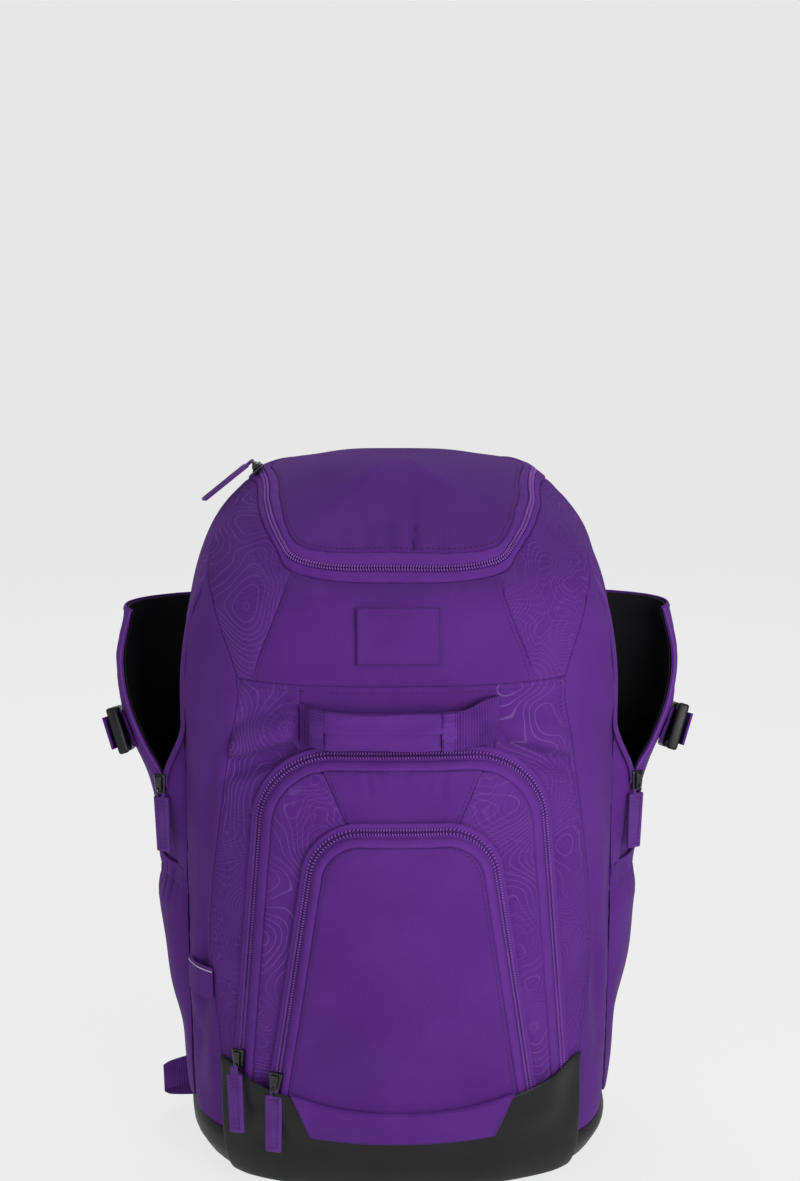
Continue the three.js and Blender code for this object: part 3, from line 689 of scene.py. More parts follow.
# %% Seams of the body
CLOTH_STEP = 2.4
HIDDEN_STEP = 5.0
BACK_EDGE = 126.0
LID_SEAMS = Sections("angle lower upper", {
    "front": (0, 8.0, 9.02),
    "corner": (36, 7.95, 8.88),
    "turn": (50, 8.33, 9.0),
    "flank": (64, 8.52, 9.15),
    "side": (84, 8.43, 9.2),
    "hip": (99, 8.0, 8.93),
    "rear": (116, 7.68, 8.66),
    "back": (180, 7.6, 8.6),
})
YOKE = Sections("t edge", {
    "foot": (5, 33.2),
    "low": (5.46, 31),
    "mid": (5.84, 29.2),
    "high": (6.45, 27.7),
    "bend": (6.95, 27.8),
    "neck": (7.42, 30.3),
    "top": (8, 34.2),
})
WALL_TOP = CHEST + 0.33
WALL_CORNER = CHEST + 0.8
SKEW = -2.75
CENTRE_EDGE = {"l": 20.5, "r": 18.0}
GUSSET_RISE = 0.75


def panel(start, end, low, high):
    """A surface between two angles, each a number or a column of the body's table, and two rows."""
    def surface(u, v):
        t = mix(low, high, v)
        a, b = (BODY.at(t)[edge] if isinstance(edge, str) else edge for edge in (start, end))
        return skin(BODY, mix(a, b, u), t)
    return surface


def lid_seam(angle, seam):
    """Row number at which a seam of the lid crosses an angle."""
    turned = (np.asarray(angle, float) + 180) % 360 - 180
    turned = np.abs(turned - SKEW * np.cos(np.radians(turned / 2)))
    return LID_SEAMS.at(LID_SEAMS.find(turned, "angle"))[seam]


def up_to_lid(angle, foot, v, side=1):
    return skin(BODY, angle, mix(foot, lid_seam(side * angle, "lower"), v))


def yoke_side(v):
    return YOKE.at(YOKE.find(mix(CHEST, ZIP, v), "t"))["edge"]


def yoke_panel(u, v):
    return up_to_lid(mix(-1, 1, u) * yoke_side(v) + SKEW, CHEST, v)


def back_panel(u, v):
    return up_to_lid(mix(BACK_EDGE, 360 - BACK_EDGE, u), 0, v)


def gusset(u, v):
    t = v * (ARM + GUSSET_RISE * u)
    row = BODY.at(np.minimum(t, ARM))
    return skin(BODY, mix(row["gusset"], row["side"], u), t)


def shoulder(side):
    """The printed panel from the yoke round to the back: its foot climbs along the gusset."""
    def surface(u, v):
        angle = mix(yoke_side(v) + side * SKEW, BACK_EDGE, u)
        climb = np.linspace(CHEST, ARM, 200)
        foot = np.interp(angle, BODY.at(climb)["gusset"], climb)
        foot = foot + GUSSET_RISE * np.clip((angle - 62) / 22, 0, 1)
        foot = mix(foot, WALL_TOP, smooth(81.4, 84.8, angle))
        return up_to_lid(angle, foot, v, side)
    return surface


def side_wall(u, v):
    """The wall inside a sleeve: its front corner reaches up under the shoulder."""
    front = BODY.at(np.minimum(v * WALL_CORNER, ARM))["side"] - 1.2
    angle = mix(front, BACK_EDGE, u)
    return skin(BODY, angle, v * mix(WALL_CORNER, WALL_TOP + 0.06, smooth(84.8, 88, angle)))


print("seams of the lid:", len(LID_SEAMS.names), "rows, of the yoke:", len(YOKE.names))

# %% [markdown]
# Where the handle pulls, the printed panels fold, and the gussets sag into long upright creases. Each
# fold is a line seen from the front, with a width and a depth; a negative depth raises the cloth.

# %% Body panels
PANEL_SEEDS = {"l": 11, "r": 29}
FOLDS = {
    "groove": {"start": (66, 340), "end": (136, 312), "wide": 6, "deep": {"l": 3.5, "r": 2.66}},
    "ridge": {"start": (72, 355), "end": (138, 330), "wide": 9, "deep": {"l": -5.0, "r": -3.8}},
    "upper": {"start": (80, 372), "end": (124, 362), "wide": 8, "deep": {"l": 1.3, "r": 1.3}},
}
SAGS = {
    "low": {"from": (151, 80), "to": (147, 190), "deep": 1.8},
    "long": {"from": (146, 112), "to": (142, 244), "deep": 2.0},
    "high": {"from": (142, 250), "to": (138, 330), "deep": 1.2},
}
SAG_WIDE = 4
TUCK = 4.0


def outward(side, spot):
    """A spot on the right half, seen from the front, or its mirror image."""
    return side * spot[0], spot[1]


yoke = dress(laid(yoke_panel, CLOTH_STEP), 3, soft=0.9)
sew("yoke_cloth", yoke, CLOTH)
topstitch(yoke, "lr", 4.0)
centre = dress(laid(panel(-CENTRE_EDGE["l"], CENTRE_EDGE["r"], 0, CHEST), CLOTH_STEP), 5, soft=0.8)
centre = crease(centre, (-50, 334), (-22, 344), 5, 0.9)
sew("centre_cloth", centre, CLOTH, ["centre_panel"])
topstitch(centre, "t", 4.6)
sew("back_cloth", dress(laid(back_panel, HIDDEN_STEP), 7, soft=1.2), CLOTH, ["back_panel"])
for tag, side, turned in SIDES:
    seed = PANEL_SEEDS[tag]
    net = dress(turned(laid(shoulder(side), CLOTH_STEP)), seed, soft=0.9, lump=70)
    sew(f"shoulder_{tag}_cloth", net, PRINT)
    surface = panel(CENTRE_EDGE[tag], "gusset", 0, CHEST)
    net = dress(turned(laid(surface, CLOTH_STEP)), seed + 1, soft=1.0, lump=60)
    for fold in FOLDS.values():
        ends = outward(side, fold["start"]), outward(side, fold["end"])
        net = crease(net, *ends, fold["wide"], fold["deep"][tag])
    sew(f"print_{tag}_cloth", net, PRINT)
    topstitch(net, "t", 4.6)
    topstitch(net, tag, 4.2)
    net = dress(turned(laid(gusset, CLOTH_STEP)), seed + 2, soft=1.3, lump=48)
    for sag in SAGS.values():
        net = crease(net, outward(side, sag["from"]), outward(side, sag["to"]), SAG_WIDE, sag["deep"])
    sew(f"gusset_{tag}_cloth", net, SMOOTH)
    net = dress(turned(laid(side_wall, HIDDEN_STEP)), seed + 3)
    net = lifted(net, -TUCK * smooth(330, 390, net[..., 2]) * smooth(14, 2, net[..., 1]))
    sew(f"side_wall_{tag}_cloth", net, LINING)

# %% [markdown]
# The base is heavy coated cloth, pressed into a shallow cup. A second band of it wraps the front corners
# and is topstitched along its upper edge. The purple tab in the middle has a thin raised border, so the
# net of the tab is simply lifted near its edges.

# %% Base cup, front band and tab
FLOOR_MID = np.array([0, -5, 0.0])
CUP_WALL = 0.75
BAND_SIDE = 50
BAND_DIP = 75


def cup(u, v):
    """Down the wall first, then over the floor to its middle."""
    angle = 360 * u - 180
    rim = BASE.row("rim") + 0.16 - 0.12 * np.sin(np.radians(angle))
    ring = skin(BASE, angle, mix(rim, 0, np.minimum(v / CUP_WALL, 1)))
    return mix(ring, FLOOR_MID, smooth(CUP_WALL, 1, v)[..., None] ** 0.6)


def band(u, v):
    """The front band: its upper edge dips in the middle and rises to the wings."""
    net = skin(BASE, mix(-BAND_SIDE, BAND_SIDE, u), mix(1.3, BASE.row("crest"), v))
    far = np.abs(net[..., 0])
    rise = 3 + 10.5 * np.minimum(far / BAND_DIP, 1) ** 2 + 0.27 * np.maximum(far - BAND_DIP, 0)
    net[..., 2] += rise * v**2
    on_body = front_y(net[..., 0], net[..., 2])
    share = smooth(104, 131, far) * smooth(42, 76, net[..., 2])
    net[..., 1] = mix(net[..., 1], np.maximum(net[..., 1], on_body), share)
    return net


def band_lift(net):
    """The band lies over the feet of the pockets, so it stands out at its upper edge."""
    return 2.8 + smooth(38, 68, net[..., 2]) * mix(5.4, 0.2, smooth(88, 128, np.abs(net[..., 0])))


def tab(u, v):
    return band(0.5 + mix(-0.5, 0.5, u) * mix(17, 22.3, v) / BAND_SIDE, mix(0.76, 1.03, v))


net = laid(cup, 4.0, ring=True, ends=False)[::-1]
from_rim = margins(net)[3]
net = lifted(net, 1.2 * smooth(14, 24, net[..., 2]) - 2.6 * bell(from_rim / 2.4), ring=True)
sew("base_cup_cloth", net, COATED, ring=True)
net = laid(band, CLOTH_STEP)
net = lifted(net, band_lift(net))
net = dress(net, 41, roll=1.0, reach=3.0, pucker=0.25, soft=0.5, lump=45, edges="lrt")
sew("base_front_cloth", net, COATED)
topstitch(net, "t", 4.0, "dark_thread")
net = laid(tab, 1.3)
edge = np.minimum.reduce(margins(net))
border = 0.7 * smooth(0.0, 0.8, edge) * (1 - smooth(2.2, 3.0, edge)) - 2.2 * bell(margins(net)[3] / 1.5)
net = lifted(net, band_lift(net) + 1.3 + border + 0.25 * swell(net, 30, 43))
sew("tab_cloth", net, SMOOTH, thick=1.2, held="laid")
topstitch(net, "lrb", 1.6, pitch=3.0)
print("base pieces sewn")

# %% [markdown]
# Two arched pockets lie over each other, each a flat face with a zip band that slopes back to what lies
# behind it. The line of an arch runs up one side, round a corner, over the top and down again. It is
# walked by its own length, so the band, the coil and the stitches can all follow it.

# %% Shape of the arches
ARCH_COLUMNS = "foot half taper top radius proud foot_proud bulge".split()
OUTER = dict(zip(ARCH_COLUMNS, (67, 112, 0.084, 326, 42, 13, 7, 3)))
INNER = dict(zip(ARCH_COLUMNS, (67, 86, 0.153, 275, 24, 12, 4.5, 4)))
TAPE_THICK = 1.6
BAND_WIDTH = 14.5


def arch_half(arch, z):
    corner = arch["radius"] * rolled(arch["top"] - z, arch["radius"])
    return arch["half"] - arch["taper"] * (z - arch["foot"]) - corner


def arch_proud(arch, x, z):
    """How far the pocket's face stands in front of what is behind it."""
    z = np.minimum(z, arch["top"])
    rise = smooth(arch["foot"], arch["foot"] + 80, z)
    half = arch_half(arch, np.minimum(z, arch["top"] - arch["radius"]))
    middle = np.clip(1 - (x / half) ** 2, 0, 1)
    return mix(arch["foot_proud"], arch["proud"], rise) + arch["bulge"] * middle * rise


def outer_y(x, z):
    return front_y(x, z) - arch_proud(OUTER, x, z)


def inner_y(x, z):
    return outer_y(x, z) - arch_proud(INNER, x, z)


def arch_path(arch):
    """Points (x, z) of the arch from the left foot to the right one, and their outward direction."""
    shoulder_z = arch["top"] - arch["radius"]
    turn = np.sin(np.linspace(0, np.pi / 2, 400))
    z = np.concatenate([
        np.linspace(arch["foot"], shoulder_z, 400)[:-1],
        arch["top"] - arch["radius"] * (1 - turn),
    ])
    rise = np.stack([-arch_half(arch, z), z], -1)
    flat = np.linspace(rise[-1, 0], -rise[-1, 0], 300)[1:-1]
    top = np.stack([flat, np.full_like(flat, arch["top"])], -1)
    line = np.concatenate([rise, top, rise[::-1] * (-1, 1)])
    run = line_run(line)
    even = np.linspace(0, run[-1], 1500)
    line = stepped(line, run, even)
    kernel = np.hanning(17) / np.hanning(17).sum()
    way = np.gradient(line, axis=0)
    way = unit(np.stack([np.convolve(np.pad(part, 8, "edge"), kernel, "valid") for part in way.T], -1))
    return even, line, np.stack([-way[:, 1], way[:, 0]], -1)


def arch_band(arch, behind):
    """A surface over (s, r): s along the arch and r across its zip band, both in mm."""
    even, line, out = arch_path(arch)

    def surface(s, r):
        x, z, nx, nz = (np.interp(s, even, part) for part in (*line.T, *out.T))
        rise = arch_proud(arch, x, z)
        x, z = x + nx * r, np.maximum(arch["foot"] - 2, z + nz * r)
        slope = smooth(-0.25, 1.1, r / BAND_WIDTH)
        return points(x, behind(x, z) - mix(rise, TAPE_THICK + 0.8, slope), z)
    return surface, even[-1]


print("length of the outer zip:", round(float(arch_path(OUTER)[0][-1])), "mm")

# %% [markdown]
# The faces of the pockets are cut to the arches. The outer one is three pieces, with a plain flap at the
# top between slanted seams. The cloth is a little loose, so it swells between the seams and puckers
# beside the zip.

# %% Pocket faces
FLAP_LOW = 279
FLAP_HALF = {"low": 37, "top": 57}


def flap_half(z):
    return mix(FLAP_HALF["low"], FLAP_HALF["top"], (z - FLAP_LOW) / (OUTER["top"] - FLAP_LOW))


def crowded(v):
    """Steps that crowd towards the top, where the arch turns."""
    return np.sin(v * np.pi / 2) * 0.35 + v * 0.65


def pocket_face(u, v):
    z = mix(INNER["foot"] - 3, INNER["top"], crowded(v))
    x = mix(-1, 1, u) * arch_half(INNER, z)
    return points(x, inner_y(x, z), z)


def pocket_flap(u, v):
    z = mix(FLAP_LOW - 6, OUTER["top"], v)
    x = mix(-1, 1, u) * np.minimum(flap_half(z), arch_half(OUTER, z))
    return points(x, outer_y(x, z), z)


def pocket_side(u, v):
    z = mix(OUTER["foot"] - 3, OUTER["top"] - 2, crowded(v))
    below = mix(14, FLAP_HALF["low"], smooth(FLAP_LOW - 60, FLAP_LOW, z))
    near = np.where(z > FLAP_LOW, flap_half(z), below)
    x = mix(near, np.maximum(arch_half(OUTER, z), near + 0.3), u)
    return points(x, outer_y(x, z), z)


net = dress(laid(pocket_face, CLOTH_STEP), 51, soft=0.9, lump=80, pucker=0.5)
sew("inner_face_cloth", net, CLOTH, thick=TAPE_THICK)
topstitch(net, "lr", 3.4)
net = dress(laid(pocket_flap, 2.0), 53, soft=0.4, pucker=0.8)
net = crease(net, (-26, 325), (-23, 309), 2.4, 1.1)
net = crease(net, (30, 326), (27, 306), 2.8, 1.2)
sew("pocket_top_cloth", net, CLOTH, thick=TAPE_THICK)
topstitch(net, "lrt", 3.4)
for (tag, _, turned), seed in zip(SIDES, (55, 56)):
    net = dress(turned(laid(pocket_side, CLOTH_STEP)), seed, soft=0.8, lump=70)
    sew(f"pocket_print_{tag}_cloth", net, PRINT, thick=TAPE_THICK)
print("pocket faces sewn")

# %% [markdown]
# A zip on such a bag is a coil sewn to the hidden side of its tape, between two raised strips of cloth.
# Across the band that is a strip, a dark slit, a groove for the coil and a second strip. The coil shows
# as two rows of fine slanted ridges: one small bead, copied along the groove into a single mesh.

# %% Zip bands and coils
BAND_PROFILE = {
    "inner strip": [(0, -1.2), (0.5, -0.2), (1.1, 0.5), (2.2, 0.9), (3.6, 1.0), (4.9, 0.8), (5.5, 0.4)],
    "groove": [(5.9, 0.0), (6.3, -0.3), (6.8, -0.2), (9.0, 0.0), (11.2, 0.0)],
    "outer strip": [(11.7, 0.2), (12.1, 0.35), (12.7, 0.55), (13.6, 0.6), (14.5, -0.2)],
}
BAND_ACROSS, BAND_LIFT = np.array(sum(BAND_PROFILE.values(), [])).T
CHAIN_LINE = 9.0
OUTER_SLIDER, INNER_SLIDER = 32.0, 22.6
COIL_PITCH, COIL_OFF, COIL_TILT = 2.0, 1.3, 0.45
COIL_BEAD = (3.0, 1.45, 1.5)
LOOK = 0.5


def scatter(name, size, places, along, out, finish, slot, nodes=()):
    """One bead, squeezed to a size, turned and copied to many places as one mesh."""
    bpy.ops.object.select_all(action="DESELECT")
    bpy.ops.mesh.primitive_ico_sphere_add(subdivisions=1, radius=0.5)
    piece = bpy.context.object
    piece.name = name
    bead = np.array([v.co for v in piece.data.vertices]) * np.array(size)
    faces = np.array([f.vertices for f in piece.data.polygons])
    along = unit(along)
    side = unit(np.cross(out, along))
    axes = np.stack([along, side, np.cross(along, side)], 1)
    spots = np.einsum("ck,nkd->ncd", bead, axes) + places[:, None]
    index = faces[None] + len(bead) * np.arange(len(places))[:, None, None]
    mesh = bpy.data.meshes.new(name)
    mesh.from_pydata(((spots.reshape(-1, 3) + SHIFT) * MM).tolist(), [], index.reshape(-1, 3).tolist())
    mesh.shade_smooth()
    piece.data = mesh
    return finish_piece(piece, finish, nodes)


def zip_band(name, surface, long, count):
    s, r = np.meshgrid(np.linspace(0, long, count), BAND_ACROSS)
    lift = BAND_LIFT[:, None] + 0.14 * ripple(s, 17, 60) * (BAND_LIFT[:, None] > 0.6)
    chain = list(BAND_ACROSS).index(CHAIN_LINE)
    sew(f"{name}_tape_cloth", lifted(surface(s, r), lift), ZIP_TAPE, thick=1.4,
        held=None, zero=chain)


def coil(name, surface, low, high, chain=CHAIN_LINE):
    """Two rows of slanted ridges from s = low to s = high."""
    s = np.arange(low, high, COIL_PITCH)
    rows = []
    for side in (-1, 1):
        r = chain + side * COIL_OFF + 0 * s
        here = surface(s, r)
        ahead = surface(s + LOOK, r) - here
        across = surface(s, r + side * LOOK) - here
        out = unit(np.cross(ahead, across) * side)
        rows.append((here + 0.5 * out, across / LOOK + COIL_TILT * ahead / LOOK, out))
    scatter(f"{name}_coil", COIL_BEAD, *map(np.concatenate, zip(*rows)), COIL, "coil", [f"{name}_chain"])


outer_band, outer_long = arch_band(OUTER, front_y)
inner_band, inner_long = arch_band(INNER, outer_y)
zip_band("outer", outer_band, outer_long, 330)
zip_band("inner", inner_band, inner_long, 260)
coil("outer", outer_band, OUTER_SLIDER + 6, outer_long)
coil("inner", inner_band, INNER_SLIDER + 6, inner_long)
print("zip bands:", round(outer_long), "and", round(inner_long), "mm")

# %% [markdown]
# The lid is a soft dome, zipped round its edge. Its front edge is gathered a little, so the cloth there
# stands in short folds that run up from the seam and fade. Its band has the same strips and groove as
# the pockets' zips.

# %% Lid
LID_GATHERS = {
    "far left": {"at": -41, "deep": 1.1, "wide": 4.0, "long": 26},
    "left": {"at": -24, "deep": 1.5, "wide": 3.4, "long": 30},
    "middle": {"at": -8, "deep": 1.9, "wide": 3.2, "long": 34},
    "strong": {"at": 9, "deep": 3.0, "wide": 3.0, "long": 44},
    "right": {"at": 27, "deep": 1.2, "wide": 3.6, "long": 26},
}
LID_TOP = np.array([0, 27, 527.4])
LID_WALL, LID_CLOSE = 0.8, 0.2


def lid_dome(u, v):
    """Up the sections first, then over to the top."""
    angle = 360 * u - 180
    t = mix(lid_seam(angle, "upper"), CROWN - 0.1, np.minimum(v / LID_WALL, 1))
    near = np.clip((v - LID_WALL) / LID_CLOSE, 0, 1)
    return mix(skin(BODY, angle, t), LID_TOP, points(near, near, np.sin(near * np.pi / 2)))


net = laid(lid_dome, 2.2, ring=True, ends=True)
_, _, low, top = margins(net)
move = 0.9 * swell(net, 60, 71) * smooth(0, 25, low) - 1.2 * rolled(low, 3.4)
front = smooth(10, -30, net[..., 1])
for fold in LID_GATHERS.values():
    far = (net[..., 0] - fold["at"] * (1 + low / 220)) / fold["wide"]
    shape = bell(far) - 0.5 * bell(np.abs(far) - 1.8)
    move = move - fold["deep"] * shape * front * bell(low / fold["long"]) * smooth(0, 5, low)
net = lifted(net, move * smooth(0, 20, top), ring=True)
sew("lid_cloth", net, CLOTH, ring=True)
topstitch(net, "b", 3.8, "dark_thread", pitch=4.0, share=(0.2, 0.8))
print("lid gathers:", len(LID_GATHERS))

# %% [markdown]
# The band round the lid is walked like the arches, by its own length. Beside the two angles at which the
# sections change from their front to their back curve, the steps are finer, so that the coil has no gap.

# %% Band of the lid
BAND_ROWS = 27
beside = np.geomspace(1e-7, 0.3, 300)
lid_angles = [np.linspace(-180, 180, 3001)] + [at + way * beside for at in (-90, 90) for way in (-1, 1)]
lid_angles = np.sort(np.concatenate(lid_angles))
lid_rows = lid_seam(lid_angles, "lower"), lid_seam(lid_angles, "upper")
lid_run = line_run(skin(BODY, lid_angles, mix(*lid_rows, 0.5)))
shares = np.linspace(0, 1, 30)[:, None]
lid_wide = lengths(skin(BODY, lid_angles[None] + 0 * shares, mix(*lid_rows, shares)), 0)[-1]


def lid_surface(s, r):
    """Over (s, r): s round the lid from the back, r up from the middle of its band, both in mm."""
    low, high = (np.interp(s, lid_run, row) for row in lid_rows)
    share = 0.5 + r / np.interp(s, lid_run, lid_wide)
    return skin(BODY, np.interp(s, lid_run, lid_angles), mix(low, high, share))


s, share = np.meshgrid(np.linspace(0, lid_run[-1], 360), np.linspace(-0.5, 0.5, BAND_ROWS))
wide = np.interp(s, lid_run, lid_wide)
r, seam = share * wide, smooth(0, 1.6, (0.5 - np.abs(share)) * wide)
lift = mix(-0.4, 0.8, smooth(2.5, 3.6, np.abs(r))) * seam - 1.0 * (1 - seam)
lift = lift + 0.25 * ripple(s, 15, 73) * smooth(3, 5, np.abs(r))
net = lifted(lid_surface(s, r), lift, ring=True)
sew("lid_band_cloth", net, ZIP_TAPE, thick=1.6, ring=True, zero=BAND_ROWS // 2)
coil("lid", lid_surface, lid_run[-1] * 0.085, lid_run[-1] * 0.915, chain=0.0)
print("lid band:", lid_wide.min().round(1), "to", lid_wide.max().round(1), "mm wide,", round(lid_run[-1]),
      "mm round")

# %% [markdown]
# Padding is foam in a cover that is sewn down along its seams. A cloth simulation finds that shape by
# itself: the cover is held at the sewn points, air pressure swells the rest for a few frames, and gravity
# is off. No point may move further than a cap, so the pad keeps its size.

# %% Filling a pad
FILL_FRAMES = 20
FILL_PRESSURE = 12.0


def inflate(piece, is_sewn, cap):
    """Swells a closed cover between its sewn points by cloth simulation, and keeps the result."""
    bpy.ops.object.select_all(action="DESELECT")
    piece.select_set(True)
    bpy.context.view_layer.objects.active = piece
    start = np.array([v.co for v in piece.data.vertices])
    held = np.flatnonzero(is_sewn(start / MM - SHIFT))
    piece.vertex_groups.new(name="sewn").add(held.tolist(), 1.0, "REPLACE")
    filling = piece.modifiers.new("filling", "CLOTH")
    filling.settings.vertex_group_mass = "sewn"
    filling.settings.use_pressure = True
    filling.settings.uniform_pressure_force = FILL_PRESSURE
    filling.settings.effector_weights.gravity = 0
    filling.point_cache.frame_end = FILL_FRAMES
    for frame_number in range(1, FILL_FRAMES + 1):
        bpy.context.scene.frame_set(frame_number)
    bpy.ops.object.modifier_apply(modifier="filling")
    bpy.context.scene.frame_set(1)
    move = np.array([v.co for v in piece.data.vertices]) - start
    far = np.linalg.norm(move, axis=1, keepdims=True)
    kept = start + move * np.minimum(1, cap * MM / np.maximum(far, 1e-9))
    piece.data.vertices.foreach_set("co", kept.ravel())
    piece.data.update()
    piece.select_set(False)
    print(piece.name, "swelled by up to", round(float(far.max() / MM), 1), "mm, kept to", cap)


print("filling: pressure", FILL_PRESSURE, "for", FILL_FRAMES, "frames")

# %% [markdown]
# The grab handle is a strap of webbing sewn into the side seams of the middle panel. It bows out for the
# hand, and a padded grip is wrapped round it. The grip is a tube: its section is a rounded box, pinched
# along the middle by a seam, and its two ends are bound with ribbed strips. On the right the webbing fans
# out into the seam.

# %% Grab handle
HANDLE = {"z": 356, "half": 68, "from": -72, "bow": 17, "tall": 27}
GRIP = {"low": -58, "high": 30, "tall": 27.5, "thick": 8.6, "soft_end": 4.0, "shrink": 0.14}
STRIP = {"tall": 28.6, "thick": 10.8, "soft_end": 1.0, "shrink": 0.06}
STRIP_ENDS = {"l": (-65.5, -56), "r": (27.5, 38)}
BOX_POWER = 2 / 3.2
GRIP_ROUND = 84
GRIP_SWELL = 1.6


def handle_y(x, z):
    bow = np.clip(1 - np.abs(x / HANDLE["half"]) ** np.where(x < 0, 6, 2.6), 0, 1)
    root = front_y(x, HANDLE["z"])
    lean = 0.5 * (front_y(x, z) - root)
    return np.minimum(front_y(x, z) - 0.8, root - 0.9 - HANDLE["bow"] * bow + lean)


def handle_strap(u, v):
    x = mix(HANDLE["from"], HANDLE["half"], u)
    fan = 1 + 0.24 * smooth(40, 64, x) + 0.1 * smooth(-60, -70, x)
    z = HANDLE["z"] + 3 * smooth(40, 64, x) + mix(-0.5, 0.5, v) * HANDLE["tall"] * fan
    return points(x, handle_y(x, z), z)


def tube(x, turn, tall, thick):
    """A rounded box section round the handle's line; turn runs from 0 to 1."""
    a = 2 * np.pi * turn
    up = signed(np.sin(a), BOX_POWER) * tall / 2
    out = signed(np.cos(a), BOX_POWER) * thick / 2
    return points(x, handle_y(x, HANDLE["z"] + 0 * x) - 3.2 - out, HANDLE["z"] + up)


def closed_tube(name, low, high, tall, thick, soft_end, shrink, finish, slot, nodes, lift):
    """A tube along the handle from x = low to x = high, drawn in a little at its closed ends."""
    turn, x = np.meshgrid(np.linspace(0, 1, 97), np.linspace(low, high, round((high - low) / 0.9)))
    puff = 1 - shrink * (1 - smooth(0, soft_end, np.minimum(x - low, high - x)))
    net = tube(x, turn, tall * (0.5 + 0.5 * puff), thick * puff)
    net = lifted(net, lift(net, turn), ring=True)
    middle = tube(x[[0, -1]], turn[[0, -1]], 0.01, 0.01)
    net = np.concatenate([middle[:1], net, middle[1:]])
    return sew(name, net, finish, nodes, thick=None, held=None, ring=True)


def grip_lift(net, turn):
    """The wrap ends in a seam along the middle: its lower half lies over the upper one."""
    upper, lower = turn * GRIP_ROUND, (1 - turn) * GRIP_ROUND
    flap = 1.1 * smooth(0, 0.7, lower) * (1 - smooth(9, 15, lower))
    return 0.35 * swell(net, 34, 83) - 1.3 * bell(upper / 2.0) + flap


def rib_lift(net, turn):
    return 0.4 * np.sin(net[..., 2] * 2 * np.pi / 2.2)


def grip_sewn(spots):
    """The ends under the strips and the seam along the front."""
    front = spots[:, 1] < handle_y(spots[:, 0], spots[:, 2]) - 3.2
    seam = front & (np.abs(spots[:, 2] - HANDLE["z"]) < 2.2)
    return seam | (spots[:, 0] < GRIP["low"] + 3) | (spots[:, 0] > GRIP["high"] - 3)


net = laid(handle_strap, 1.8)
folds = 0.5 * ripple(net[..., 2], 9, 81) * smooth(44, 60, net[..., 0])
sew("handle_webbing_strap", lifted(net, 2.2 + folds), WEBBING)
grip = closed_tube("handle_grip_pad", **GRIP, finish=SMOOTH, slot="cloth", nodes=["handle_grip"],
                   lift=grip_lift)
inflate(grip, grip_sewn, GRIP_SWELL)
for end, (low, high) in STRIP_ENDS.items():
    closed_tube(f"handle_end_{end}_strip", low, high, **STRIP, finish=TAPE, slot="webbing", nodes=[],
                lift=rib_lift)
    for x in (low + 1.0, high - 1.0):
        line = tube(np.full(13, x), np.linspace(0.2, -0.2, 13), STRIP["tall"] + 0.4, STRIP["thick"] + 0.4)
        seams["thread"].append([line, np.gradient(line, axis=0), np.tile([0.0, -1, 0], (13, 1))])
print("handle:", 2 * HANDLE["half"], "mm between its seams")

# %% [markdown]
# On the yoke sits a small sewn-on patch. It is left bare here: a panel of the same cloth with a stitched
# frame, so only the net's height changes near its edge.

# %% Patch
PATCH = {"x": (-32, 28), "z": (398, 437)}


def patch(u, v):
    x, z = mix(*PATCH["x"], u), mix(*PATCH["z"], v)
    return points(x, front_y(x, z), z)


net = laid(patch, 1.2)
edge = np.minimum.reduce(margins(net))
frame_rise = 0.5 * smooth(0, 0.7, edge) * (1 - smooth(1.6, 2.3, edge))
net = lifted(net, 1.3 + frame_rise + 0.12 * swell(net, 22, 85))
sew("patch_cloth", net, CLOTH, thick=1.0, held="laid")
topstitch(net, "lrbt", 1.1, pitch=2.6)
print("patch sewn on")

# %% [markdown]
# Each side has a tall sleeve for a bat. Above its slider the zip is open, and the cloth flares out and
# shows a black lining. The sleeve is a curve from its free front edge round to the back seam, at each
# height. Outside it, low down, sits a slack pocket with a gathered elastic hem.

# %% Shape of the sleeves
SEAM_Y = 75
SLEEVE_LOW, SLEEVE_TOP = 62, 413
SLIDER_Z = 289
GORE_LOW, GORE_TOP = 214, 338
GORE_ANGLE = 76
POCKET_Y = -33
HEM_START = 0.12
SLEEVE = Sections("z edge_x edge_y out", {
    "foot": (62, 162.5, -13, 164),
    "low": (120, 163, -13, 165.5),
    "belly": (190, 164, -14, 169),
    "hem": (236, 167, -20, 184),
    "slider": (288, 175, -22, 190),
    "open": (318, 191, -16, 199),
    "flare": (348, 203, -8, 206),
    "wide": (380, 207, 0, 208),
    "top": (413, 200, 14, 202),
})
SLACK = Sections("z out", {
    "foot": (40, 161.5),
    "low": (75, 167),
    "mid": (115, 173),
    "slack": (150, 179),
    "full": (190, 185),
    "hem": (234, 187),
})


def body_x(z, share, power):
    """Half the width of the bag at a height; share is how far from its middle towards the front or back."""
    row = BODY.at(BODY.find(z))
    return row["half"] * (1 - share(row) ** row[power]) ** (1 / row[power])


def side_x(y, z):
    """Half the width of the bag at a depth and a height, in its front half."""
    return body_x(z, lambda row: (MID_Y - y) / (MID_Y - row["front"]), "nf")


def seam_x(z):
    """Half the width of the bag at the seam behind a sleeve."""
    return 1.2 + body_x(z, lambda row: (SEAM_Y - MID_Y) / (row["back"] - MID_Y), "nb")


def side_curve(edge_x, edge_y, out, u, z):
    """A Bezier curve from a free edge to the back seam, which bulges to x = out between them."""
    seam = seam_x(z)
    reach = (out - 0.105 * (edge_x + seam) - 0.04 * seam) / 0.75
    w = (1 - u) ** 3, 3 * u * (1 - u) ** 2, 3 * u * u * (1 - u), u**3
    x = w[0] * edge_x + (w[1] + w[2]) * reach + w[3] * seam
    y = w[0] * edge_y + w[1] * (edge_y + 16) + w[2] * (SEAM_Y - 14) + w[3] * SEAM_Y
    return x, y


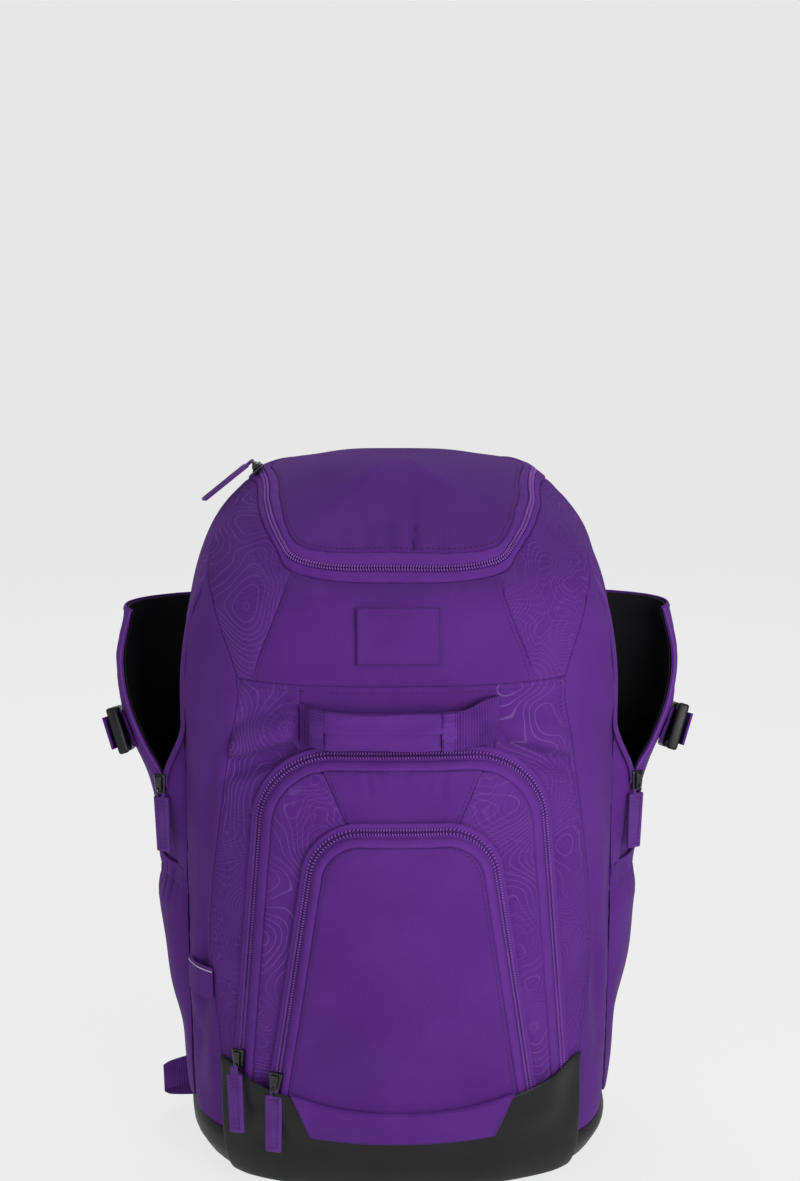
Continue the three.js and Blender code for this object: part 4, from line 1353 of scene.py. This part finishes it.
def sleeve_point(u, z):
    row = SLEEVE.at(SLEEVE.find(z))
    lift = smooth(230, 270, z) * (1 - smooth(360, 410, z))
    fold = 2.2 * lift * np.sin(z / 17 + 5 * u) * np.sin(np.pi * u)
    return points(*side_curve(row["edge_x"], row["edge_y"], row["out"] + fold, u, z), z)


def gore_root(z):
    """The line on the body from which the gore and the body's half of the zip start."""
    rows = np.linspace(0, ZIP, 400)
    line = skin(BODY, GORE_ANGLE + 0 * rows, rows) + np.array([0.3, 0, 0])
    return np.stack([np.interp(z, line[:, 2], column) for column in line.T], -1)


def gore(u, v):
    z = mix(GORE_LOW, GORE_TOP, v)
    tip = sleeve_point(0 * z, np.minimum(z, SLIDER_Z))
    share = (1 - smooth(SLIDER_Z, GORE_TOP, z) * 0.96)[..., None]
    root = gore_root(z)
    edge = mix(root, tip + np.array([0, -3.2, 0]), share)
    edge[..., 2] = z
    return mix(root, edge, u[..., None])


def hem_point(u, z):
    """The line that the hem is drawn to: over the gore, then over the sleeve."""
    edge = sleeve_point(0 * u, z)
    over = mix(gore_root(z), edge, np.clip(u / HEM_START, 0, 1)[..., None])
    on_sleeve = sleeve_point(np.clip((u - HEM_START) / (1 - HEM_START), 0, 1), z)
    return np.where((u < HEM_START)[..., None], over, on_sleeve)


def pocket_point(u, z):
    row = SLACK.at(SLACK.find(z))
    slack = 1.6 * smooth(60, 120, z) * (1 - smooth(190, 225, z)) * np.sin(np.pi * u) * np.sin(z / 21 + 4 * u)
    x, y = side_curve(side_x(POCKET_Y, z) + 1.2, POCKET_Y, row["out"] + slack, u, z)
    loose = points(x + 2.6 * u, y + 4.5 * u, z)
    return mix(loose, hem_point(u, z), smooth(188, 226, z)[..., None])


print("sleeves open from", SLIDER_Z, "to", SLEEVE_TOP, "mm")

# %% [markdown]
# The sleeve's free edges have a rolled hem. The pocket's hem is a wide band that elastic draws together,
# so below it the cloth stands in small upright gathers.

# %% Side sleeves and pockets
SLEEVE_SEEDS = {"l": 90, "r": 97}
LINING_LOW = 224
HEM = {"wide": 4.0, "high": 0.8}
POCKET_HEM = 16.0


def sleeve(u, v):
    return sleeve_point(u, mix(SLEEVE_LOW, SLEEVE_TOP, v))


def sleeve_lining(u, v):
    return sleeve_point(mix(0.012, 0.99, u), mix(LINING_LOW, SLEEVE_TOP - 1.2, v))


def side_pocket(u, v):
    return pocket_point(u, mix(40, mix(222, 236, u), v))


def hemmed(net):
    """The net with a rolled hem along its upper edge and its free front edge."""
    left, _, _, top = margins(net)
    edge = np.minimum(left, top)
    inside = 1 - smooth(HEM["wide"], HEM["wide"] + 1.0, edge)
    return lifted(net, HEM["high"] * smooth(0, 0.8, edge) * inside)


def gathered(net, seed):
    """The net with its hem band, the gathers below it and a slack belly."""
    left, right, _, top = margins(net)
    gather = ripple(left, 8, seed) * np.exp(-((top - 19) / 16).clip(0) ** 1.2)
    gather = gather * smooth(0, 12, left) * smooth(0, 12, right)
    belly = 1.0 * swell(net, 50, seed + 1) * smooth(5, 60, top) * smooth(0, 25, left)
    hem_band = 0.5 * smooth(0, 1.0, top) * (1 - smooth(POCKET_HEM - 1.5, POCKET_HEM, top))
    over = 2.6 * smooth(45, 5, top) * smooth(0, 6, left)
    seam = 0.9 * bell((top - POCKET_HEM - 0.5) / 1.4)
    return lifted(net, 0.8 * gather * smooth(1, 7, top) + belly + over + hem_band - seam)


for tag, _, turned in SIDES:
    seed = SLEEVE_SEEDS[tag]
    net = dress(laid(sleeve, 2.6), seed, roll=1.0, reach=2.5, soft=1.0, lump=50, pucker=0.8, edges="lrt")
    sew(f"sleeve_{tag}_cloth", turned(hemmed(net)), SMOOTH, thick=1.6,
        held="hung")
    net = lifted(turned(laid(sleeve_lining, 4.0)), -2.3)
    sew(f"lining_{tag}_cloth", net, LINING, thick=1.0, held="hung")
    net = lifted(turned(dress(laid(gore, 2.2), seed + 1, soft=0.5, roll=0.6, reach=3)), 1.6)
    sew(f"gore_{tag}_cloth", net, SMOOTH, thick=1.4)
    net = turned(gathered(laid(side_pocket, 2.2), seed + 2))
    sew(f"side_pocket_{tag}_cloth", net, SMOOTH, thick=1.6,
        held="gathered")
    topstitch(net, "t", POCKET_HEM - 1)
print("sleeves and side pockets:", 4)

# %% [markdown]
# The open zip has one half on the sleeve's free edge and the other on the body. Each half is a narrow
# tape with a single row of teeth, so it is sewn like cloth and then gets its beads.

# %% Open zip halves
HALF_TAPE = ((6.0, 0.9), (4.0, 1.5), (2.0, 1.5), (0.0, 1.3))
TOOTH, TOOTH_PITCH = (2.6, 1.2, 1.6), 1.7
BODY_ZIP_TOP = 452


def half_zip(name, line, out, inward, nodes):
    """A tape 6 mm wide along a line, with teeth on its free edge."""
    run = line_run(line)
    stops = np.linspace(0, run[-1], 70)
    line, out, inward = (stepped(part, run, stops) for part in (line, out, inward))
    net = np.stack([line + inward * across + out * lift for across, lift in HALF_TAPE])
    if (np.cross(net[0, 40] - net[0, 39], net[1, 39] - net[0, 39]) @ out[39]) < 0:
        net = net[::-1]
    sew(f"{name}_tape", net, TAPE, [], thick=0.9, held=None)
    teeth = np.arange(1, run[-1], TOOTH_PITCH)
    line, out, inward = (stepped(part, stops, teeth) for part in (line, out, inward))
    scatter(f"{name}_teeth", TOOTH, line + out * 1.4, inward, out, COIL, "coil", nodes)


z = np.linspace(SLIDER_Z + 4, SLEEVE_TOP - 2, 200)
edge = sleeve_point(0 * z, z)
inward = unit(sleeve_point(0 * z + 0.03, z) - edge)
out = unit(np.cross(inward, np.gradient(edge, axis=0)))
v = np.linspace((SLIDER_Z - GORE_LOW - 2) / (GORE_TOP - GORE_LOW), 1, 200)
top_run = np.linspace(GORE_TOP + 2, BODY_ZIP_TOP, 80)
sunk = mix(0.6, -3.0, smooth(425, BODY_ZIP_TOP, top_run))[:, None] * np.array([1, 0, 0])
body_edge = np.concatenate([gore(np.ones(200), v), gore_root(top_run) + sunk])
body_in, body_out = (np.tile(way, (len(body_edge), 1)) for way in ((-0.35, -0.94, 0), (0.94, -0.35, 0)))
for tag, side, _ in SIDES:
    flip = np.array([side, 1, 1])
    half_zip(f"sleeve_zip_{tag}_edge", edge * flip, out * flip, inward * flip, [f"sleeve_zip_{tag}"])
    half_zip(f"sleeve_zip_{tag}_body", body_edge * flip, body_out * flip, body_in * flip, [])
print("open zip halves:", 4)

# %% [markdown]
# Webbing straps pull the sleeves in, one webbing loop hangs at the lower corner, and a small woven label
# is sewn on one gusset. The straps are laid over the sleeves and lifted clear of them; the loop and the
# label are strips of their own.

# %% Straps, loop and label
WEBBING_WIDE = 25
LOOP = {"x": -164.5, "long": 21, "y": (6, 36), "z": (43, 20)}
LABEL = {"x": (-159, -140), "y": (-46, -74), "z": (135, 160), "bend": 3.0}


def strap(u, v):
    along = mix(0.14, 0.97, u)
    return sleeve_point(along, mix(328, 310, along) + mix(-0.5, 0.5, v) * WEBBING_WIDE)


def loop(u, v):
    """Out of the side seam, round a tip and back, a little lower."""
    across, tip = mix(0.5, -0.5, v), np.sin(np.pi * u)
    z = mix(*LOOP["z"], u) - 3 * tip + across * WEBBING_WIDE
    return points(LOOP["x"] - LOOP["long"] * tip, mix(*LOOP["y"], u) - 6 * across, z)


def label(u, v):
    bend = LABEL["bend"] * np.sin(np.pi * u)
    return points(mix(*LABEL["x"], u) - 0.8 * bend, mix(*LABEL["y"], u) - 0.6 * bend, mix(*LABEL["z"], v))


for tag, _, turned in SIDES:
    net = lifted(turned(laid(strap, 2.4)), 3.0)
    sew(f"strap_{tag}_webbing", net, WEBBING, thick=1.8)
sew("loop_webbing", laid(loop, 1.6), WEBBING, held="folded")
net = laid(label, 1.4)
sew("label_cloth", net, SMOOTH, thick=0.8, held="laid")
topstitch(net, "t", 3.0, "white_thread", pitch=1.9)
print("straps, loop and label sewn")

# %% [markdown]
# Moulded parts start as a cube. It is scaled, its edges are bevelled as a mould rounds them, and a top
# face is inset and pushed down for a raised border. They are modelled flat, in millimetres, and a matrix
# then lays them on the bag.

# %% Moulding helpers
def block(size, centre, bevel=0.8, taper=1.0, recess=0.0, border=1.5):
    """A rounded block; taper narrows its far end, recess sinks its top inside a border."""
    bpy.ops.object.select_all(action="DESELECT")
    bpy.ops.mesh.primitive_cube_add(size=1, location=centre)
    piece = bpy.context.object
    piece.scale = size
    bpy.ops.object.transform_apply(location=True, rotation=True, scale=True)
    for corner in piece.data.vertices:
        if corner.co.y > centre[1]:
            corner.co.x = centre[0] + (corner.co.x - centre[0]) * taper
    bpy.context.tool_settings.mesh_select_mode = (False, False, True)
    bpy.ops.object.mode_set(mode="EDIT")
    bpy.ops.mesh.select_all(action="SELECT")
    bpy.ops.mesh.bevel(offset=bevel, offset_type="OFFSET", segments=3, affect="EDGES", clamp_overlap=True)
    if recess:
        bpy.ops.mesh.select_all(action="DESELECT")
        bpy.ops.object.mode_set(mode="OBJECT")
        top = centre[2] + size[2] / 2
        for face in piece.data.polygons:
            face.select = face.normal.z > 0.99 and face.center.z > top - 0.01
        bpy.ops.object.mode_set(mode="EDIT")
        bpy.ops.mesh.inset(thickness=border)
        bpy.ops.mesh.inset(thickness=0.4, depth=-recess)
    bpy.ops.object.mode_set(mode="OBJECT")
    return piece


def ring(radius, wire, centre, turn):
    bpy.ops.object.select_all(action="DESELECT")
    bpy.ops.mesh.primitive_torus_add(major_radius=radius, minor_radius=wire, major_segments=24,
                                     minor_segments=10, location=centre, rotation=turn)
    bpy.ops.object.transform_apply(location=True, rotation=True, scale=True)
    return bpy.context.object


def placed(name, blocks, place, along, out, finish):
    """Joins blocks into one piece and lays it on the bag: y goes along and z out."""
    bpy.ops.object.select_all(action="DESELECT")
    for part in blocks:
        part.select_set(True)
    bpy.context.view_layer.objects.active = blocks[0]
    bpy.ops.object.join()
    piece = bpy.context.object
    piece.name = name
    z_axis = Vector(out).normalized()
    x_axis = Vector(along).cross(z_axis).normalized()
    y_axis = z_axis.cross(x_axis)
    turn = Matrix((x_axis, y_axis, z_axis)).transposed().to_4x4()
    piece.data.transform(Matrix.Scale(MM, 4) @ Matrix.Translation(Vector(place) + Vector(SHIFT)) @ turn)
    bpy.ops.object.shade_smooth_by_angle(angle=math.radians(32))
    return finish_piece(piece, finish)


print("moulding helpers ready")

# %% [markdown]
# Each zip ends in an enamelled slider with a bail, and a soft moulded pull hangs from it. The pull has a
# raised border, a shallow field and a few cross ridges for the fingers.

# %% Sliders and pulls
PULL_RIDGES = (6.2, 9.4, 12.6, 35.4, 38.6, 41.8)
LID_SLIDER_ANGLE = -104.0


def zip_end(name, place, down, out, pull_down, pull_out, lift, pull_lift=1.0, ahead=0.0):
    """A slider at a place, pointing down its zip, and its pull, which hangs in a direction of its own."""
    down, out, pull_down, pull_out = map(unit, (down, out, pull_down, pull_out))
    body = [
        block((11, 15, 3.2), (0, 7, 1.6), 1.3, 0.7),
        block((6.4, 12, 3.0), (0, 6.6, 4.2), 1.3, 0.8),
        ring(3.3, 1.0, (0, 12.4, 3.6), (0, math.pi / 2, 0)),
    ]
    spot = place - 7 * down + lift * out
    placed(f"{name}_slider_metal", body, spot, down, out, SLIDER)
    pull = [
        block((13, 43, 3), (0, 23.5, 1.5), 1.2, 0.92, 0.7, 1.5),
        block((6, 9, 2.2), (0, 0.5, 1.5), 0.8),
    ]
    pull += [block((7.4, 1.2, 0.8), (0, at, 2.2), 0.3) for at in PULL_RIDGES]
    spot = place + 8 * down + (lift + pull_lift) * out + ahead * pull_down
    placed(f"{name}_pull_moulded", pull, spot, pull_down, pull_out, PULL)


end = outer_band(np.array(OUTER_SLIDER), np.array(CHAIN_LINE))
zip_end("outer", end, (0.02, 0, -1), (-0.5, -0.86, 0), (0.04, -0.26, -1), (-0.5, -0.84, 0.18), 2.2,
        pull_lift=6.5)
end = inner_band(np.array(INNER_SLIDER), np.array(CHAIN_LINE))
zip_end("inner", end, (-0.12, 0, -1), (-0.35, -0.94, 0), (-0.02, -0.12, -1), (-0.25, -0.96, 0.1), 2.0)
end = lid_surface(np.interp(LID_SLIDER_ANGLE, lid_angles, lid_run), np.array(0.0))
zip_end("lid", end, (-0.25, 0.75, 0.2), (-0.72, -0.1, 0.7), (-0.79, -0.3, -0.56), (-0.6, 0, 0.8), 4.2,
        ahead=3.0)
sleeve_end = sleeve_point(np.array(0.0), np.array(float(SLIDER_Z))) + np.array([2, -4, 0])
for tag, side, _ in reversed(SIDES):
    out = side * 0.5, -0.86, 0
    end = sleeve_end * np.array([side, 1, 1])
    zip_end(f"sleeve_{tag}", end, (side * -0.08, 0, -1), out, (side * 0.03, -0.12, -1), out, 0.4)
print("zip ends:", 5)

# %% [markdown]
# A side-release buckle is a shell with two springy prongs that show in its side windows, and a bar for
# the webbing. Only its outer shape matters here: a thick shell with a sunk field, a core, two bowed
# prongs and the bar. The loose end of the webbing lies over it.

# %% Buckles
HOLD_U, HOLD_Z = 0.36, 321.0
SHELL_TOP = 12.4


def on_strap(u, z):
    return sleeve_point(np.array(u), np.array(z))


hold = on_strap(HOLD_U, HOLD_Z)
ahead = on_strap(HOLD_U - 0.04, HOLD_Z + 1) - hold
hold_out = unit(np.cross(on_strap(HOLD_U + 0.01, HOLD_Z) - hold, on_strap(HOLD_U, HOLD_Z + 1) - hold))
hold_out = unit(hold_out + np.array([0, -0.08, 0]))
hold_back = unit(hold_out * (ahead @ hold_out) - ahead)
hold_up = np.cross(hold_out, hold_back)


def tail(u, v):
    """The loose end of the webbing: over the buckle's outer face, with its tip curled out a little."""
    along, up = mix(24, -26, u)[..., None], mix(0.5, -0.5, v)[..., None] * WEBBING_WIDE
    return hold + hold_back * along + hold_up * up + hold_out * (SHELL_TOP + 3.0 * u**2)[..., None]


for tag, side, _ in reversed(SIDES):
    flip = np.array([side, 1, 1])
    shell = [
        block((36, 32, 9), (0, -11.8, 4.5), 2.4, 0.97, 0.8, 3.0),
        block((15, 26, 5.5), (0, 12, 4.5), 1.2),
        block((5, 20, 6), (12, 12, 4.5), 1.6, 0.94),
        block((5, 20, 6), (-12, 12, 4.5), 1.6, 0.94),
        block((36, 7, 8), (0, 24.4, 4.4), 2.0),
    ]
    spot = (hold + 2.6 * hold_out) * flip
    placed(f"buckle_{tag}_shell", shell, spot, ahead * flip, hold_out * flip, HARD)
for tag, _, turned in SIDES:
    sew(f"strap_{tag}_tail", turned(laid(tail, 2.4)), WEBBING, [], thick=1.6, held="hung")
print("buckles laid on the straps")

# %% [markdown]
# The back is out of the photo's view and is finished plainly: two padded shoulder straps, with webbing
# and an adjuster below each. A pad is a closed tube with a flat, rounded section that swells in the
# middle and closes at its ends.

# %% Shoulder straps
PAD = {"top": 474, "foot": 190, "top_x": 52, "foot_x": 92, "wide": 62, "arch": 22, "thick": 7.0}
PAD_STITCH = 21
PAD_CHANNELS = (0.36, 0.68)
PAD_SWELL = 2.2
WEBBING_FOOT = 40


def pad_line(v):
    x = mix(PAD["top_x"], PAD["foot_x"], v) + 14 * np.sin(np.pi * v)
    y = 92.5 - 4.7 * (1 - smooth(0, 0.12, v)) + PAD["arch"] * np.sin(np.pi * v) ** 0.8
    return points(x, y, mix(PAD["top"], PAD["foot"], v))


def pad_taper(v):
    return mix(1, 0.62, smooth(0.6, 1, v))


def pad_cover():
    """The net of the right pad: a flat tube, grooved along its edge seams and closed at its ends."""
    turn, v = np.meshgrid(np.linspace(0, 1, 65), np.linspace(0, 1, 110))
    line = pad_line(v)
    wide = np.array([1.0, 0, 0])
    out = unit(np.cross(unit(np.gradient(line, axis=0)), wide))
    out *= np.sign(out[..., 1:2])
    half = 0.5 * PAD["wide"] * pad_taper(v)
    end_round = np.clip(np.minimum(v, 1 - v) / 0.02, 0, 1) ** 0.5
    c, s = np.cos(2 * np.pi * turn), np.sin(2 * np.pi * turn)
    x_off = signed(s, 0.7) * half * (0.9 + 0.1 * end_round)
    z_off = signed(c, 0.8) * PAD["thick"] / 2 * end_round
    z_off = z_off - np.sign(c) * 0.9 * bell((np.abs(x_off) - half * 0.86) / 1.6) * end_round
    z_off = z_off + np.sign(c) * 0.35 * swell(line + x_off[..., None], 40, 111)
    net = line + wide * x_off[..., None] + out * (z_off + PAD["thick"] / 2)[..., None]
    net[0], net[-1] = net[0].mean(0), net[-1].mean(0)
    return net[:, ::-1] if (normals(net)[55, 0] @ out[55, 0]) < 0 else net


def pad_sewn(spots):
    """Where the cover is sewn down: its ends, a seam along each edge and two cross channels."""
    share = (PAD["top"] - spots[:, 2]) / (PAD["top"] - PAD["foot"])
    across = np.abs(np.abs(spots[:, 0]) - pad_line(share)[:, 0])
    channel = np.minimum(*(np.abs(share - at) for at in PAD_CHANNELS)) < 0.006
    return (across > 0.43 * PAD["wide"] * pad_taper(share)) | channel | (share < 0.03) | (share > 0.97)


def pad_webbing(u, v):
    z = mix(PAD["foot"] + 6, WEBBING_FOOT, u) + mix(-3, 3, v)
    below = np.clip((PAD["foot"] - 36 - z) / 114, 0, 1)
    x = mix(PAD["foot_x"] + 1, 128, smooth(0, 1.2, u)) + mix(-0.5, 0.5, v) * WEBBING_WIDE
    return points(x, mix(96.5, 90, smooth(0.4, 1, below)) + 6 * np.sin(np.pi * below), z)


cover = pad_cover()
middle = cover.shape[1] // 2
for tag, side, turned in SIDES:
    net = turned(cover)
    pad = sew(f"pad_{tag}_cloth", net, SMOOTH, thick=None, held=None,
              ring=True)
    inflate(pad, pad_sewn, PAD_SWELL)
    for column in (middle + PAD_STITCH, middle - PAD_STITCH):
        out = normals(net)[4:-4, column]
        stitch_line(net[4:-4, column] + out * 0.2, out)
    net = lifted(turned(laid(pad_webbing, 3.0)[:, ::-1]), 1.8)
    sew(f"webbing_{tag}_strap", net, WEBBING, thick=1.8, held="hung")
    bars = [block((36, 5, 6), (0, at, 3), 1.4) for at in (2.8, 14.5, 27)]
    bars += [block((5, 28, 6), (at, 14.6, 3), 1.4) for at in (-15.4, 15.4)]
    spot = np.array([side * PAD["foot_x"], 94.5, PAD["foot"] - 10.2])
    placed(f"adjuster_{tag}_bars", bars, spot, (side * 0.25, 0, -1), (0, 1, 0), HARD)
print("shoulder straps:", 2)

# %% [markdown]
# Last comes the thread. Every row of stitches that was noted while sewing is now one mesh per thread: the
# same small bead, stretched to a stitch and laid along its seam.

# %% Stitching
STITCH_SIZE = (2.6, 0.8, 0.7)
THREADS = {
    "thread": (THREAD, "tape"),
    "dark_thread": (DARK_THREAD, "lining"),
    "white_thread": (WHITE_THREAD, "cloth"),
}
for name, (finish, slot_name) in THREADS.items():
    places, along, out = map(np.concatenate, zip(*seams[name]))
    scatter(f"stitches_{name}", STITCH_SIZE, places, along, out, finish, slot_name)
    print(name, len(places), "stitches")

# %% [markdown]
# The box round the finished bag is printed. The finished bag has to keep the size of the solids.

# %% Size and finish
low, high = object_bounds()
print("visual box", [round(c, 4) for c in (*low, *high)])
